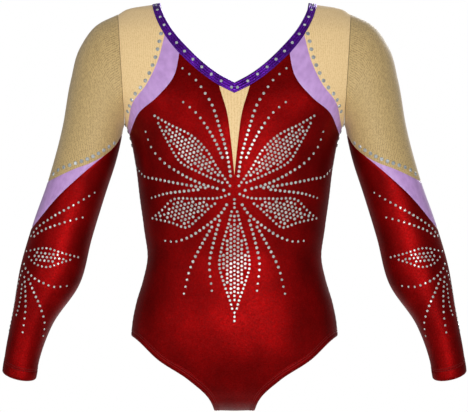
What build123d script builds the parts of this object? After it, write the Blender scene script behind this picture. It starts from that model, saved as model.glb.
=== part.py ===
"""Long-sleeved gymnastics competition leotard, in millimetres, in the shape it has when worn.

The origin is midway between the two high shoulder points, on the centre plane. +Z is up, the front faces -Y,
and the wearer's left side is +X. Every fabric panel is a thin shell cut from one body form or one arm form,
so neighbours meet edge to edge along their seams. The sleeves turn about a front-to-back axis at each
shoulder.
"""

import os
from math import copysign, cos, radians, sin

from build123d import *

# Fabric
FABRIC = 1.1  # one layer of stretch fabric
BINDING_PROUD = 0.5  # the neck binding stands this far proud of the panels, outside and inside
HEM = 2 * FABRIC  # a hem is the panel's fabric folded to two layers
ELASTIC = 0.5  # thickness of the elastic tape in the neck, legs and cuffs
LINING = 0.5  # thickness of the linings
LINING_GAP = 0.3  # the linings hang this far inside the panels

# Body form: level, half width, depth to the front, depth to the back, squareness of the section
TORSO = [
    (1.5, 88, 5, 5, 2.0),
    (-2, 106, 10, 10, 2.0),
    (-6, 133, 23, 23, 2.0),
    (-15, 154, 37, 37, 2.1),
    (-28, 172, 50, 50, 2.2),
    (-52, 186, 63, 63, 2.3),
    (-85, 189, 75, 73, 2.3),
    (-118, 176, 86, 79, 2.2),
    (-142, 156, 92, 81, 2.1),
    (-168, 143, 96, 81, 2.1),
    (-215, 132, 97, 78, 2.1),
    (-262, 126, 90, 73, 2.1),
    (-305, 120, 82, 68, 2.1),
    (-340, 116, 77, 66, 2.1),
    (-370, 122, 77, 71, 2.1),
    (-400, 131, 79, 81, 2.1),
    (-440, 137, 80, 92, 2.1),
    (-488, 128, 70, 88, 2.1),
    (-524, 95, 47, 62, 2.1),
    (-543, 55, 23, 36, 2.1),
]
SHOULDER_LEVEL = -52  # above this the skin closes over the shoulders
HIP_LEVEL = -440  # below this the skin closes between the legs
ROUND = 2.0  # squareness of an ellipse
SECTION_POINTS = 24
SECTION_START = 97.5  # where each section's outline begins, in degrees, just beside the centre line
EVEN_STEPS = [k / SECTION_POINTS for k in range(SECTION_POINTS + 1)]
REACH = 150  # how far the panel outlines are extruded, past the body on each side
FAR = 260  # half width that clears the whole body
ARM_FAR = 350  # and the whole arm
TOP = 40  # level that clears the shoulders
BELOW = -600  # level that clears the lowest point

# Arm form, wearer's left: outer point, inner point, half depth, offset to the back, and how far the section
# is tipped with its front edge lowered, in degrees
ARM = [
    ((155.5, -17), (147, -154), 53, 0, 0),
    ((184, -31), (147.5, -160), 54, 0, 0),
    ((206, -60), (148.5, -168), 52, 0, 0),
    ((218, -102), (151, -183), 49, 1, 0),
    ((229, -164), (158, -212), 45, 2, 0),
    ((247, -232), (172, -255), 41, 4, 0),
    ((268, -292), (190, -314), 40, 5, 0),
    ((285, -350), (206, -374), 39, 3, 0),
    ((296, -415), (243, -430), 31, -1, 4),
    ((305, -462), (260, -476), 24, -4, 12),
    ((309, -490), (264.5, -500), 22, -5, 20),
]
ARM_LENGTHS = (0, 3), (3, 10)  # the first and last section of each length of the form
ARMHOLE_GAP = 0.6  # room between the body panels and the sleeve at the armhole seam

# Neck, right half of the front view: lines run from the centre to the shoulder
FRONT_NECK_EDGE = [(0, -107), (21, -95.5), (60.5, -62), (87.5, -29), (97.5, -8), (101, 12)]
FRONT_NECK_SEAM = [(0, -121), (19, -111.5), (57.5, -83), (89.5, -48), (107, -14), (112, 12)]
BACK_NECK_EDGE = [(0, -160), (38, -148), (69, -118), (87, -80), (95.5, -38), (97.5, -8), (101, 12)]
BACK_NECK_SEAM = [(0, -171), (42, -158), (77, -125), (97, -84), (105.5, -42), (107, -14), (112, 12)]
NECK_ELASTIC_SHARES = (0.25, 0.75)  # the tape lies between these shares of the binding's width

# Front insert, bands and yokes, right half of the front view
INSERT = [(0, -229), (4, -190), (10.5, -144), (20, -112), (24, -96)]
FRONT_YOKE_LINE = [(92, -40), (102.5, -79), (117, -109), (136, -135), (142, -160), (150, -200)]
FRONT_BAND_LINE = [(72, -60), (81, -99), (104, -127), (128, -148), (138, -170), (150, -215)]
BACK_YOKE_LINE = [(98, -52), (112, -95), (128, -135), (141, -168), (150, -200)]
BACK_BAND_LINE = [(84, -92), (97, -130), (120, -158), (138, -182), (150, -215)]

# Legs
LEG_LINE = [(FAR, -437), (137, -444), (101, -476), (60, -503), (33, -529), (22, -560)]
LEG_HEM_SHIFT = (-6, 8)  # from the leg edge to the hem's stitching line
LEG_ELASTIC_SHIFTS = ((-2, 2.6), (-4.6, 6.2))
GUSSET_HEIGHT = 62  # the lining between the legs reaches this far up from the lowest point
LOWEST = -543

# Sleeve seams, wearer's left, in the front view
MESH_LINE_OUTER = [(ARM_FAR, -290), (243, -235), (212, -221), (190, -213), (172, -203)]
MESH_LINE_INNER = [(172, -203), (158, -190), (149, -175), (125, -150)]
RED_LINE = [(ARM_FAR, -390), (269, -298), (234, -257), (208, -233), (172, -203)]
CUFF_WIDTH = 17
CUFF_ELASTIC = (5, 12)  # the tape lies between these distances from the cuff's edge
OVERRUN = 4  # how far a cutting form runs past the end of a sleeve

# Linings, labels and overlocked seams
LINING_HALF_WIDTH = 96
LINING_BOTTOM = -300
SIZE_LABEL = (-13, -195, 13, -177)  # left, bottom, right and top, inside the back neck
CARE_LABEL = (104, -350, 113, -318)  # the same, inside the back near the wearer's left side seam
SEAM_THICKNESS = 0.9
SEAM_HALF_WIDTH = 2.5
SIDE_SEAM = (90, -425, -175)  # inner edge, bottom and top
SHOULDER_SEAM = (114, 147)  # inner and outer end
ARMHOLE_SEAM = 5  # width of the seam allowance round the armhole

# Crystals, wearer's left half: the lines their middles follow in the front view, and how many there are
SMALL_STONE = 2.0  # radius on the neck binding
LARGE_STONE = 2.6  # radius along the yokes and the sleeve seams
STONE_TOP = 0.6  # the flat top's radius and the height, as shares of the stone's radius
STONE_SINK = 0.3  # the glue line: a stone's flat back sits this deep in the fabric
FRONT_NECK_STONES = [(4, -113.5), (20, -103.5), (59, -72.5), (88.5, -38.5), (102, -11.5), (104.5, -4)], 12
BACK_NECK_STONES = [(4, -165.5), (40, -153), (73, -121.5), (92, -82), (100.5, -40), (102, -14)], 13
FRONT_YOKE_STONES = [(97.5, -41.7), (105.7, -75.7), (119.9, -107.1), (134.8, -126.3), (142, -145)], 12
BACK_YOKE_STONES = [(108.5, -61), (117, -95), (132, -130), (140, -150)], 10
SLEEVE_STONES = [(160, -187), (177, -198.5), (195, -208), (215, -215), (235, -223), (241, -228)], 12
MARKS = 16  # a line of stones is measured over the body in this many steps
CENTRED = Align.CENTER, Align.CENTER


def blend_level(z, inset):
    """Level of a section after the skin moves inwards: lower at the shoulders and higher at the bottom."""
    if z > SHOULDER_LEVEL:
        return z - inset * (1 - z / SHOULDER_LEVEL)
    if z < HIP_LEVEL:
        return z + inset * (HIP_LEVEL - z) / (HIP_LEVEL - LOWEST)
    return z


def section_points(half_width, front, back, squareness):
    """Points round one section, a rounded oblong that is deeper at the back or the front."""
    points = []
    for k in range(SECTION_POINTS):
        angle = radians(SECTION_START + 360 * k / SECTION_POINTS)
        across, along = cos(angle), sin(angle)
        depth = back if along > 0 else front
        x = half_width * copysign(abs(across) ** (2 / squareness), across)
        y = depth * copysign(abs(along) ** (2 / squareness), along)
        points.append(Vector(x, y))
    return points


def torso_form(inset):
    """The solid body form, with its skin moved inwards by inset."""
    with BuildPart() as form:
        for z, half_width, front, back, squareness in TORSO:
            with BuildSketch(Plane.XY.offset(blend_level(z, inset))):
                with BuildLine():
                    points = section_points(half_width - inset, front - inset, back - inset, squareness)
                    add(Edge.make_spline(points, periodic=True, parameters=EVEN_STEPS))
                make_face()
        loft()
    return form.part


def arm_section(outer, inner, offset, tip, stretch=0):
    """Plane of one arm section, and half its width in the front view."""
    middle = Vector((outer[0] + inner[0]) / 2, offset, (outer[1] + inner[1]) / 2)
    across = Vector(outer[0] - inner[0], 0, outer[1] - inner[1])
    down = across.cross(Vector(0, -1, 0)).normalized().rotate(Axis((0, 0, 0), across), tip)
    return Plane(origin=middle + down * stretch, x_dir=across, z_dir=down), across.length / 2


def arm_form(inset, overrun=0):
    """The solid form of the wearer's left arm. overrun lengthens it past both ends, for a clean cut."""
    with BuildPart() as form:
        for first, last in ARM_LENGTHS:
            for index in range(first, last + 1):
                outer, inner, depth, offset, tip = ARM[index]
                stretch = {0: -overrun, len(ARM) - 1: overrun}.get(index, 0)
                plane, half_width = arm_section(outer, inner, offset, tip, stretch)
                with BuildSketch(plane):
                    with BuildLine():
                        points = section_points(half_width - inset, depth - inset, depth - inset, ROUND)
                        add(Edge.make_spline(points, periodic=True, parameters=EVEN_STEPS))
                    make_face()
            loft()
    return form.part


def skin(form, outside, inside):
    """The layer between two depths under a form's surface."""
    with BuildPart() as layer:
        add(form(outside))
        add(form(inside), mode=Mode.SUBTRACT)
    return layer.part


def tube(outside, inside):
    """The layer between two depths under the arm form's surface, open at both ends."""
    with BuildPart() as layer:
        add(arm_form(outside))
        add(arm_form(inside, OVERRUN), mode=Mode.SUBTRACT)
    return layer.part


def area_beside(corners, *lines):
    """Flat area in the front view, between seam lines joined end to end and the corners that close it."""
    with BuildSketch() as area:
        with BuildLine():
            for line in lines:
                Spline(line)
            Polyline(lines[-1][-1], *corners, lines[0][0])
        make_face()
    return area.sketch


def area_above(line):
    """Flat area above a line that runs outwards and down, past the body's outline."""
    return area_beside([(FAR, line[-1][1]), (FAR, TOP), (line[0][0], TOP)], line)


def both_sides(area):
    """The area and its mirror image in the centre plane."""
    with BuildSketch() as pair:
        add(area)
        mirror(area, about=Plane.YZ)
    return pair.sketch


def less(area, *others):
    """The area without the others."""
    with BuildSketch() as rest:
        add(area)
        for other in others:
            add(other, mode=Mode.SUBTRACT)
    return rest.sketch


def cut_from(layer, front=None, back=None):
    """The part of a layer inside a front outline, a back outline or both."""
    with BuildPart() as panel:
        if front is not None:
            with BuildSketch(Plane.XZ):
                add(front)
            extrude(amount=REACH)
        if back is not None:
            with BuildSketch(Plane.XZ):
                add(back)
            extrude(amount=-REACH)
        add(layer, mode=Mode.INTERSECT)
    return panel.part


def cut_through(layer, area, reach=REACH):
    """The part of a layer inside one outline, front and back alike."""
    with BuildPart() as panel:
        with BuildSketch(Plane.XZ):
            add(area)
        extrude(amount=reach, both=True)
        add(layer, mode=Mode.INTERSECT)
    return panel.part


def common(area, other):
    """The area that two outlines share."""
    with BuildSketch() as shared:
        add(area)
        add(other, mode=Mode.INTERSECT)
    return shared.sketch


def between(edge, seam, share):
    """The line at a share of the way from one line to another."""
    return [(a[0] + (b[0] - a[0]) * share, a[1] + (b[1] - a[1]) * share) for a, b in zip(edge, seam)]


def strip(near, far):
    """The strip between two lines."""
    return area_beside([], near, [near[-1], far[-1]], far[::-1])


def without(part, core):
    """A folded strip with the room for the tape inside it."""
    with BuildPart() as strip:
        add(part)
        add(core, mode=Mode.SUBTRACT)
    return strip.part


def oblong(left, bottom, right, top):
    """A rectangle in the front view, by its corners."""
    with BuildSketch() as area:
        with Locations(((left + right) / 2, (bottom + top) / 2)):
            Rectangle(right - left, top - bottom)
    return area.sketch


def seat(form, spot, facing):
    """Plane on a form's surface where a stone is glued. facing is -1 at the front and 1 at the back."""
    hits = form.find_intersection_points(Axis((spot.X, facing * REACH, spot.Y), (0, -facing, 0)))
    point, normal = min(hits, key=lambda hit: -facing * hit[0].Y)
    outward = normal if normal.Y * facing > 0 else -normal
    return Plane(origin=point - outward * STONE_SINK, z_dir=outward)


def stones(form, line, count, radius, facing):
    """Flat-backed crystals evenly spaced over a form's surface, along a line in the front view."""
    route = Spline(line, mode=Mode.PRIVATE)
    spots = [seat(form, route @ (k / MARKS), facing).origin for k in range(MARKS + 1)]
    walked = [0]
    for here, there in zip(spots, spots[1:]):
        walked.append(walked[-1] + (there - here).length)
    seats = []
    for index in range(count):
        goal = walked[-1] * index / (count - 1)
        step = max(k for k in range(MARKS) if walked[k] <= goal)
        share = (step + (goal - walked[step]) / (walked[step + 1] - walked[step])) / MARKS
        seats.append(seat(form, route @ share, facing))
    with BuildPart() as group:
        with Locations(*seats):
            Cone(radius, radius * STONE_TOP, radius * STONE_TOP, align=(*CENTRED, Align.MIN))
    return group.part


def together(*parts):
    """Several groups of separate solids as one node."""
    with BuildPart() as group:
        for part in parts:
            add(part)
    return group.part


def mirrored(part):
    """The same piece on the wearer's other side."""
    with BuildPart() as twin:
        mirror(part, about=Plane.YZ)
    return twin.part


def shifted(line, shift):
    """A seam line moved across and up."""
    return [(x + shift[0], z + shift[1]) for x, z in line]


def save(name, part):
    """Labels a finished piece and writes its STEP file."""
    part.label = name
    export_step(part, f"parts/{name}.step")


def save_pair(name, left):
    """Writes a wearer's-left piece and its mirror image."""
    save(f"{name}_left", left)
    save(f"{name}_right", mirrored(left))


os.makedirs("parts", exist_ok=True)
panel_layer = skin(torso_form, 0, FABRIC)

# The body's outline, right half of the front view, with the armhole seam as a straight line
armhole = Vector(*ARM[0][0]) - Vector(*ARM[0][1])
armhole_bottom = Vector(ARM[0][1][0] - ARMHOLE_GAP, ARM[0][1][1])
armhole_top = armhole_bottom + armhole * (TOP - ARM[0][1][1]) / armhole.Y
below_armhole = [(FAR, ARM[0][1][1]), (FAR, BELOW), (0, BELOW)]
with BuildSketch() as body_outline:
    with BuildLine():
        Polyline((0, TOP), armhole_top, armhole_bottom, *below_armhole, close=True)
    make_face()
half_body = body_outline.sketch

# Outlines in the front view
front_hole = area_beside([(0, TOP)], FRONT_NECK_EDGE)
front_neck = area_beside([(0, TOP)], FRONT_NECK_SEAM)
back_hole = area_beside([(0, TOP)], BACK_NECK_EDGE)
back_neck = area_beside([(0, TOP)], BACK_NECK_SEAM)
leg_corners = [(FAR, BELOW)]
leg_hole = area_beside(leg_corners, LEG_LINE)
hem_hole = area_beside(leg_corners, shifted(LEG_LINE, LEG_HEM_SHIFT))
insert_area = area_beside([(0, INSERT[-1][1])], INSERT)
front_yoke_area = area_above(FRONT_YOKE_LINE)
front_band_area = area_above(FRONT_BAND_LINE)
back_yoke_area = area_above(BACK_YOKE_LINE)
back_band_area = area_above(BACK_BAND_LINE)
front_body = less(half_body, front_neck)
back_body = less(half_body, back_neck)

# Front of the body
front_red = both_sides(less(front_body, insert_area, front_band_area, hem_hole))
save("front_panel", cut_from(panel_layer, front=front_red))
save("front_insert", cut_from(panel_layer, front=both_sides(common(insert_area, front_body))))
front_band = common(less(front_band_area, front_yoke_area), front_body)
save_pair("front_band", cut_from(panel_layer, front=front_band))
front_yoke = common(front_yoke_area, front_body)
save_pair("front_yoke", cut_from(panel_layer, front=front_yoke))

# Back of the body
back_red = both_sides(less(back_body, back_band_area, hem_hole))
save("back_panel", cut_from(panel_layer, back=back_red))
back_band = common(less(back_band_area, back_yoke_area), back_body)
save_pair("back_band", cut_from(panel_layer, back=back_band))
back_yoke = common(back_yoke_area, back_body)
save_pair("back_yoke", cut_from(panel_layer, back=back_yoke))

# Neck binding, folded round its elastic tape
front_tape, back_tape = (
    both_sides(strip(*(between(edge, seam, share) for share in NECK_ELASTIC_SHARES)))
    for edge, seam in ((FRONT_NECK_EDGE, FRONT_NECK_SEAM), (BACK_NECK_EDGE, BACK_NECK_SEAM))
)
neck_tape = cut_from(skin(torso_form, (FABRIC - ELASTIC) / 2, (FABRIC + ELASTIC) / 2), front_tape, back_tape)
binding_layer = skin(torso_form, -BINDING_PROUD, FABRIC + BINDING_PROUD)
front_strip = both_sides(less(front_neck, front_hole))
back_strip = both_sides(less(back_neck, back_hole))
neck_strip = cut_from(binding_layer, front_strip, back_strip)
save("neck_elastic", neck_tape)
save("neck_binding", without(neck_strip, neck_tape))

# Leg hems, folded round their elastic tapes
leg_tape_area = strip(*(shifted(LEG_LINE, shift) for shift in LEG_ELASTIC_SHIFTS))
leg_tape = cut_through(skin(torso_form, (HEM - ELASTIC) / 2, (HEM + ELASTIC) / 2), leg_tape_area)
leg_strip = cut_through(skin(torso_form, 0, HEM), less(hem_hole, leg_hole))
save_pair("leg_elastic", leg_tape)
save_pair("leg_hem", without(leg_strip, leg_tape))

# Linings and labels
lining_layer = skin(torso_form, FABRIC + LINING_GAP, FABRIC + LINING_GAP + LINING)
lining_area = common(oblong(0, LINING_BOTTOM, LINING_HALF_WIDTH, TOP), less(front_body, front_yoke_area))
save("front_lining", cut_from(lining_layer, front=both_sides(lining_area)))
gusset_area = both_sides(less(oblong(0, BELOW, FAR, LOWEST + GUSSET_HEIGHT), hem_hole))
save("gusset_lining", cut_through(lining_layer, gusset_area))
save("size_label", cut_from(lining_layer, back=oblong(*SIZE_LABEL)))
save("care_label", cut_from(lining_layer, back=oblong(*CARE_LABEL)))

# Overlocked seam allowances
seam_layer = skin(torso_form, FABRIC, FABRIC + SEAM_THICKNESS)
side_area = oblong(SIDE_SEAM[0], SIDE_SEAM[1], FAR, SIDE_SEAM[2])
save_pair("side_seam", cut_through(seam_layer, side_area, SEAM_HALF_WIDTH))
shoulder_area = oblong(SHOULDER_SEAM[0], SHOULDER_LEVEL, SHOULDER_SEAM[1], TOP)
save_pair("shoulder_seam", cut_through(seam_layer, shoulder_area, SEAM_HALF_WIDTH))
allowance_line = [armhole_top, armhole_bottom]
inner_line = [point - Vector(ARMHOLE_SEAM, 0) for point in allowance_line]
with BuildSketch() as allowance_outline:
    with BuildLine():
        Polyline(*allowance_line, *inner_line[::-1], close=True)
    make_face()
save_pair("armhole_seam", cut_through(seam_layer, allowance_outline.sketch))

# Sleeves
sleeve_layer = tube(0, FABRIC)
cuff_plane, _ = arm_section(ARM[-1][0], ARM[-1][1], ARM[-1][3], ARM[-1][4])
upper_corners = [(MESH_LINE_INNER[-1][0], TOP), (ARM_FAR, TOP)]
lower_corners = [(MESH_LINE_INNER[-1][0], BELOW), (ARM_FAR, BELOW)]
upper_area = area_beside(upper_corners, MESH_LINE_OUTER, MESH_LINE_INNER)
save_pair("upper_sleeve", cut_through(sleeve_layer, upper_area))
save_pair("sleeve_band", cut_through(sleeve_layer, area_beside([], MESH_LINE_OUTER, RED_LINE[::-1])))
lower_tube = cut_through(sleeve_layer, area_beside(lower_corners, RED_LINE, MESH_LINE_INNER))
save_pair("lower_sleeve", split(lower_tube, cuff_plane.offset(-CUFF_WIDTH), Keep.BOTTOM))

# Cuffs, folded round their elastic tapes
cuff_tape = tube((HEM - ELASTIC) / 2, (HEM + ELASTIC) / 2)
cuff_tape = split(cuff_tape, cuff_plane.offset(-CUFF_ELASTIC[0]), Keep.BOTTOM)
cuff_tape = split(cuff_tape, cuff_plane.offset(-CUFF_ELASTIC[1]), Keep.TOP)
cuff_strip = split(tube(0, HEM), cuff_plane.offset(-CUFF_WIDTH), Keep.TOP)
save_pair("cuff_elastic", cuff_tape)
save_pair("cuff_hem", without(cuff_strip, cuff_tape))

# Crystals
binding_form = torso_form(-BINDING_PROUD)
neck_left = together(
    stones(binding_form, *FRONT_NECK_STONES, SMALL_STONE, -1),
    stones(binding_form, *BACK_NECK_STONES, SMALL_STONE, 1),
)
save("neck_crystals", together(neck_left, mirrored(neck_left)))
body_form = torso_form(0)
yoke_left = together(
    stones(body_form, *FRONT_YOKE_STONES, LARGE_STONE, -1),
    stones(body_form, *BACK_YOKE_STONES, LARGE_STONE, 1),
)
save_pair("yoke_crystals", yoke_left)
sleeve_form = arm_form(0)
sleeve_stones = [stones(sleeve_form, *SLEEVE_STONES, LARGE_STONE, facing) for facing in (-1, 1)]
save_pair("sleeve_crystals", together(*sleeve_stones))
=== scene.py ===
from math import cos, pi, radians, sin

import bpy
import numpy as np
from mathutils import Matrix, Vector
from mathutils.geometry import delaunay_2d_cdt
from mathutils.kdtree import KDTree


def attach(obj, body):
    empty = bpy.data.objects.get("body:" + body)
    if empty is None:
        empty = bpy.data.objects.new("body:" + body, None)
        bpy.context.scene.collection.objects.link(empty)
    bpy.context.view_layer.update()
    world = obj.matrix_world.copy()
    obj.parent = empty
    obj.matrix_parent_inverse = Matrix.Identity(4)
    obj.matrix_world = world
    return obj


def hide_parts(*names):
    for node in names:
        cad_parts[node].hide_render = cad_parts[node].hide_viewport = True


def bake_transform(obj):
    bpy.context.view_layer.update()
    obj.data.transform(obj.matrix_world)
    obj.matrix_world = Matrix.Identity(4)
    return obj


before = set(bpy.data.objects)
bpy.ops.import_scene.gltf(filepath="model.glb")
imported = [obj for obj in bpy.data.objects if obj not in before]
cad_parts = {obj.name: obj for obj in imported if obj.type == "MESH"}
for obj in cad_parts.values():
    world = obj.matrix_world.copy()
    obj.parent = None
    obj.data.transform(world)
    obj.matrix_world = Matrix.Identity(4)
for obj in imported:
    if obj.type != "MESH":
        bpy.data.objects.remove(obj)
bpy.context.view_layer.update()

bl_info = {
    "name": "Gymnastics leotard",
    "version": (1, 0, 0),
    "blender": (4, 5, 0),
    "location": "View3D > Sidebar > Leotard",
    "description": "Sewn panels, bindings, crystals and stitching of a long-sleeved leotard",
    "category": "Object",
}

MM = 0.001
BODY = "torso"
SIDES = {"left": 1, "right": -1}

# Body form in mm: level, half width, depth to the front, depth to the back, squareness of the section
TORSO = [
    (1.5, 88, 5, 5, 2.0),
    (-2, 106, 10, 10, 2.0),
    (-6, 133, 23, 23, 2.0),
    (-15, 154, 37, 37, 2.1),
    (-28, 172, 50, 50, 2.2),
    (-52, 186, 63, 63, 2.3),
    (-85, 189, 75, 73, 2.3),
    (-118, 176, 86, 79, 2.2),
    (-142, 156, 92, 81, 2.1),
    (-168, 143, 96, 81, 2.1),
    (-215, 132, 97, 78, 2.1),
    (-262, 126, 90, 73, 2.1),
    (-305, 120, 82, 68, 2.1),
    (-340, 116, 77, 66, 2.1),
    (-370, 122, 77, 71, 2.1),
    (-400, 131, 79, 81, 2.1),
    (-440, 137, 80, 92, 2.1),
    (-488, 128, 70, 88, 2.1),
    (-524, 95, 47, 62, 2.1),
    (-536, 70, 31, 46, 2.1),
    (-541, 48, 19, 30, 2.0),
    (-543, 27, 10.5, 17, 2.0),
    (-543.8, 0.05, 0.04, 0.05, 2.0),
]
TOP, BOTTOM = TORSO[0][0], TORSO[-1][0]
FAR = 260  # beyond the body's side
FLOOR_OF_BODY = -543.2  # below this the body closes and faces down

# Arm form, wearer's left, in mm: outer point, inner point, half depth, offset to the back, tip in degrees
ARM = [
    (155.5, -17, 147, -154, 53, 0, 0),
    (184, -31, 147.5, -160, 54, 0, 0),
    (206, -60, 148.5, -168, 52, 0, 0),
    (218, -102, 151, -183, 49, 1, 0),
    (229, -164, 158, -212, 45, 2, 0),
    (247, -232, 172, -255, 41, 4, 0),
    (268, -292, 190, -314, 40, 5, 0),
    (285, -350, 206, -374, 39, 3, 0),
    (296, -415, 243, -430, 31, -1, 4),
    (305, -462, 260, -476, 24, -4, 12),
    (309, -490, 264.5, -500, 22, -5, 20),
]

# Seam lines in the front view, wearer's left half, in mm
FRONT_NECK_EDGE = [(0, -107), (21, -95.5), (60.5, -62), (87.5, -29), (97.5, -8), (101, 12)]
FRONT_NECK_SEAM = [(0, -121), (19, -111.5), (57.5, -83), (89.5, -48), (107, -14), (112, 12)]
BACK_NECK_EDGE = [(0, -160), (38, -148), (69, -118), (87, -80), (95.5, -38), (97.5, -8), (101, 12)]
BACK_NECK_SEAM = [(0, -171), (42, -158), (77, -125), (97, -84), (105.5, -42), (107, -14), (112, 12)]
INSERT = [(0, -229), (4, -190), (10.5, -144), (20, -112), (24, -96)]
FRONT_YOKE = [(92, -40), (102.5, -79), (117, -109), (136, -135), (142, -160), (150, -200)]
FRONT_BAND = [(72, -60), (81, -99), (104, -127), (128, -148), (138, -170), (150, -215)]
BACK_YOKE = [(98, -52), (112, -95), (128, -135), (141, -168), (150, -200)]
BACK_BAND = [(84, -92), (97, -130), (120, -158), (138, -182), (150, -215)]
LEG = [(FAR, -437), (137, -444), (101, -476), (60, -503), (33, -529), (22, -560)]
HEM_SHIFT = (-6, 8)
ARMHOLE = [(158.4, 40), (143.5, -200)]
MESH_LINE = [
    (350, -290), (243, -235), (212, -221), (190, -213), (172, -203), (158, -190), (149, -175), (125, -150),
]
RED_LINE = [(350, -390), (269, -298), (234, -257), (208, -233), (172, -203)]
CUFF = 17
LINING_EDGE, LINING_BOTTOM, GUSSET_TOP = 96, -300, -485

# Widths in mm of the strips as worn, and of one cut layer of each
NECK_WIDTH, NECK_CUT = 14, 15.5
HEM_WIDTH, HEM_CUT = 10, 11.5
SEAM_WIDTH = 5

# How the sleeve leaves the armhole, in mm
ARMHOLE_GAP = 0.6  # between the sleeve's first ring and the armhole
ARMHOLE_EASE = 45  # length over which the armhole's shape turns into the arm's
LOWEST_ARMHOLE = -180

# Stones of the flowers, distances in mm between their centres
RAY_GAP = 6.2
RAY_ROOM = 4.5
EDGE_GAP, EDGE_ROOM = 5.6, 4.7
FILL_GAP, FILL_ROW, FILL_ROOM = 5.5, 4.8, 4.3

# Crystal lines in the front view, wearer's left half, in mm, with how many stones each holds
FRONT_NECK_STONES = [(4, -113.5), (20, -103.5), (59, -72.5), (88.5, -38.5), (102, -11.5), (104.5, -4)], 12
BACK_NECK_STONES = [(4, -165.5), (40, -153), (73, -121.5), (92, -82), (100.5, -40), (102, -14)], 13
FRONT_YOKE_STONES = [(97.5, -41.7), (105.7, -75.7), (119.9, -107.1), (134.8, -126.3), (142, -145)], 12
BACK_YOKE_STONES = [(108.5, -61), (117, -95), (132, -130), (140, -150)], 10
SLEEVE_STONES = [(160, -187), (177, -198.5), (195, -208), (215, -215), (235, -223), (241, -228)], 12

# The flowers: rays run from their outer ends to the middle, each with its widest gap between stones in mm,
# and petals lie between two edges
FRONT_RAYS = [
    ([(69, -88), (51, -104), (39, -121), (31, -134), (20, -166), (9, -206), (5, -232)], 12),
    ([(68, -133), (53, -145), (40, -161), (25, -186), (14, -211)], 11),
    ([(118, -172), (111, -192), (99, -208), (71, -228), (39, -243), (18, -249)], 11),
    ([(130, -220), (120, -231), (103, -235), (62, -243), (13, -250)], 5.2),
    ([(110, -260), (98, -256), (57, -250), (29, -247)], 5.2),
    ([(92, -317), (79, -318), (65, -314), (40, -299), (16, -278), (8, -265)], 7.5),
    ([(67, -387), (59, -354), (44, -323), (29, -297), (16, -278)], 9.5),
    ([(30, -383), (33, -345), (27, -316), (16, -278)], 9.5),
]
FRONT_PETALS = [
    (
        [(106, -151), (89, -161), (55, -179), (37, -197), (23, -220), (6, -244)],
        [(106, -151), (97, -169), (85, -192), (73, -211), (45, -227), (6, -244)],
    ),
    (
        [(109, -287), (95, -275), (85, -264), (51, -261), (17, -259), (7, -255)],
        [(109, -287), (83, -293), (63, -299), (49, -288), (33, -273), (7, -255)],
    ),
    (
        [(0, -262), (7, -292), (17, -327), (20, -350), (14, -373), (4, -403), (0, -423)],
        [(0, -262), (0, -292), (0, -327), (0, -350), (0, -373), (0, -403), (0, -423)],
    ),
]
SLEEVE_RAYS = [
    ([(186, -253), (204, -264), (224, -275), (248, -289), (263, -300), (272, -312)], 8.5),
    ([(202, -286), (218, -290), (240, -297), (259, -305), (270, -314)], 8.5),
    ([(223, -377), (240, -378), (254, -373), (267, -366), (279, -352), (281, -344)], 8.5),
    ([(254, -442), (252, -427), (258, -404), (267, -384), (276, -363)], 9),
    ([(281, -436), (278, -411), (278, -386), (280, -362)], 9),
]
SLEEVE_PETALS = [
    (
        [(208, -339), (230, -333), (250, -327), (277, -331)],
        [(208, -339), (230, -346), (250, -352), (266, -347), (277, -334)],
    ),
    (
        [(281, -352), (289, -376), (293, -400), (300, -436)],
        [(281, -352), (283, -376), (286, -400), (298, -436)],
    ),
]


def paint(text):
    """Linear colour from a hex sRGB value."""
    parts = [int(text[k : k + 2], 16) / 255 for k in (1, 3, 5)]
    return tuple(c / 12.92 if c <= 0.04045 else ((c + 0.055) / 1.055) ** 2.4 for c in parts) + (1.0,)


class FabricSizes(bpy.types.PropertyGroup):
    """Thicknesses and mesh spacing of the sewn pieces."""

    cloth: bpy.props.FloatProperty(
        name="Fabric", description="Thickness of one layer of stretch fabric", default=0.0009, unit="LENGTH"
    )
    lining: bpy.props.FloatProperty(
        name="Lining", description="Thickness of the linings", default=0.0005, unit="LENGTH"
    )
    groove: bpy.props.FloatProperty(
        name="Seam groove",
        description="How deep a seam pulls the fabric in",
        default=0.00055,
        unit="LENGTH",
    )
    spacing: bpy.props.FloatProperty(
        name="Mesh spacing",
        description="Distance between the points of a panel",
        default=0.0044,
        unit="LENGTH",
    )
    stretch: bpy.props.FloatProperty(
        name="Wearing stretch",
        description="How much the worn fabric is stretched over its cut area",
        default=1.12,
        subtype="FACTOR",
    )


class StoneSizes(bpy.types.PropertyGroup):
    """Sizes of the crystals and the thread."""

    small: bpy.props.FloatProperty(
        name="Small stone", description="Radius of a neck and motif stone", default=0.0021, unit="LENGTH"
    )
    large: bpy.props.FloatProperty(
        name="Large stone",
        description="Radius of a yoke and sleeve seam stone",
        default=0.0028,
        unit="LENGTH",
    )
    thread: bpy.props.FloatProperty(
        name="Thread", description="Radius of the topstitching thread", default=0.0002, unit="LENGTH"
    )
    pitch: bpy.props.FloatProperty(
        name="Stitch pitch", description="Distance from stitch to stitch", default=0.003, unit="LENGTH"
    )


class FinishColours(bpy.types.PropertyGroup):
    """Mid tones of the two foil fabrics."""

    red: bpy.props.FloatVectorProperty(
        name="Red foil", description="Red foil fabric", subtype="COLOR", default=paint("#790405")[:3]
    )
    purple: bpy.props.FloatVectorProperty(
        name="Purple foil", description="Purple foil fabric", subtype="COLOR", default=paint("#52188A")[:3]
    )


def settings():
    """The three groups of sizes and colours."""
    scene = bpy.context.scene
    return scene.leotard_fabric, scene.leotard_stones, scene.leotard_colours


# Forms, all in mm


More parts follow.
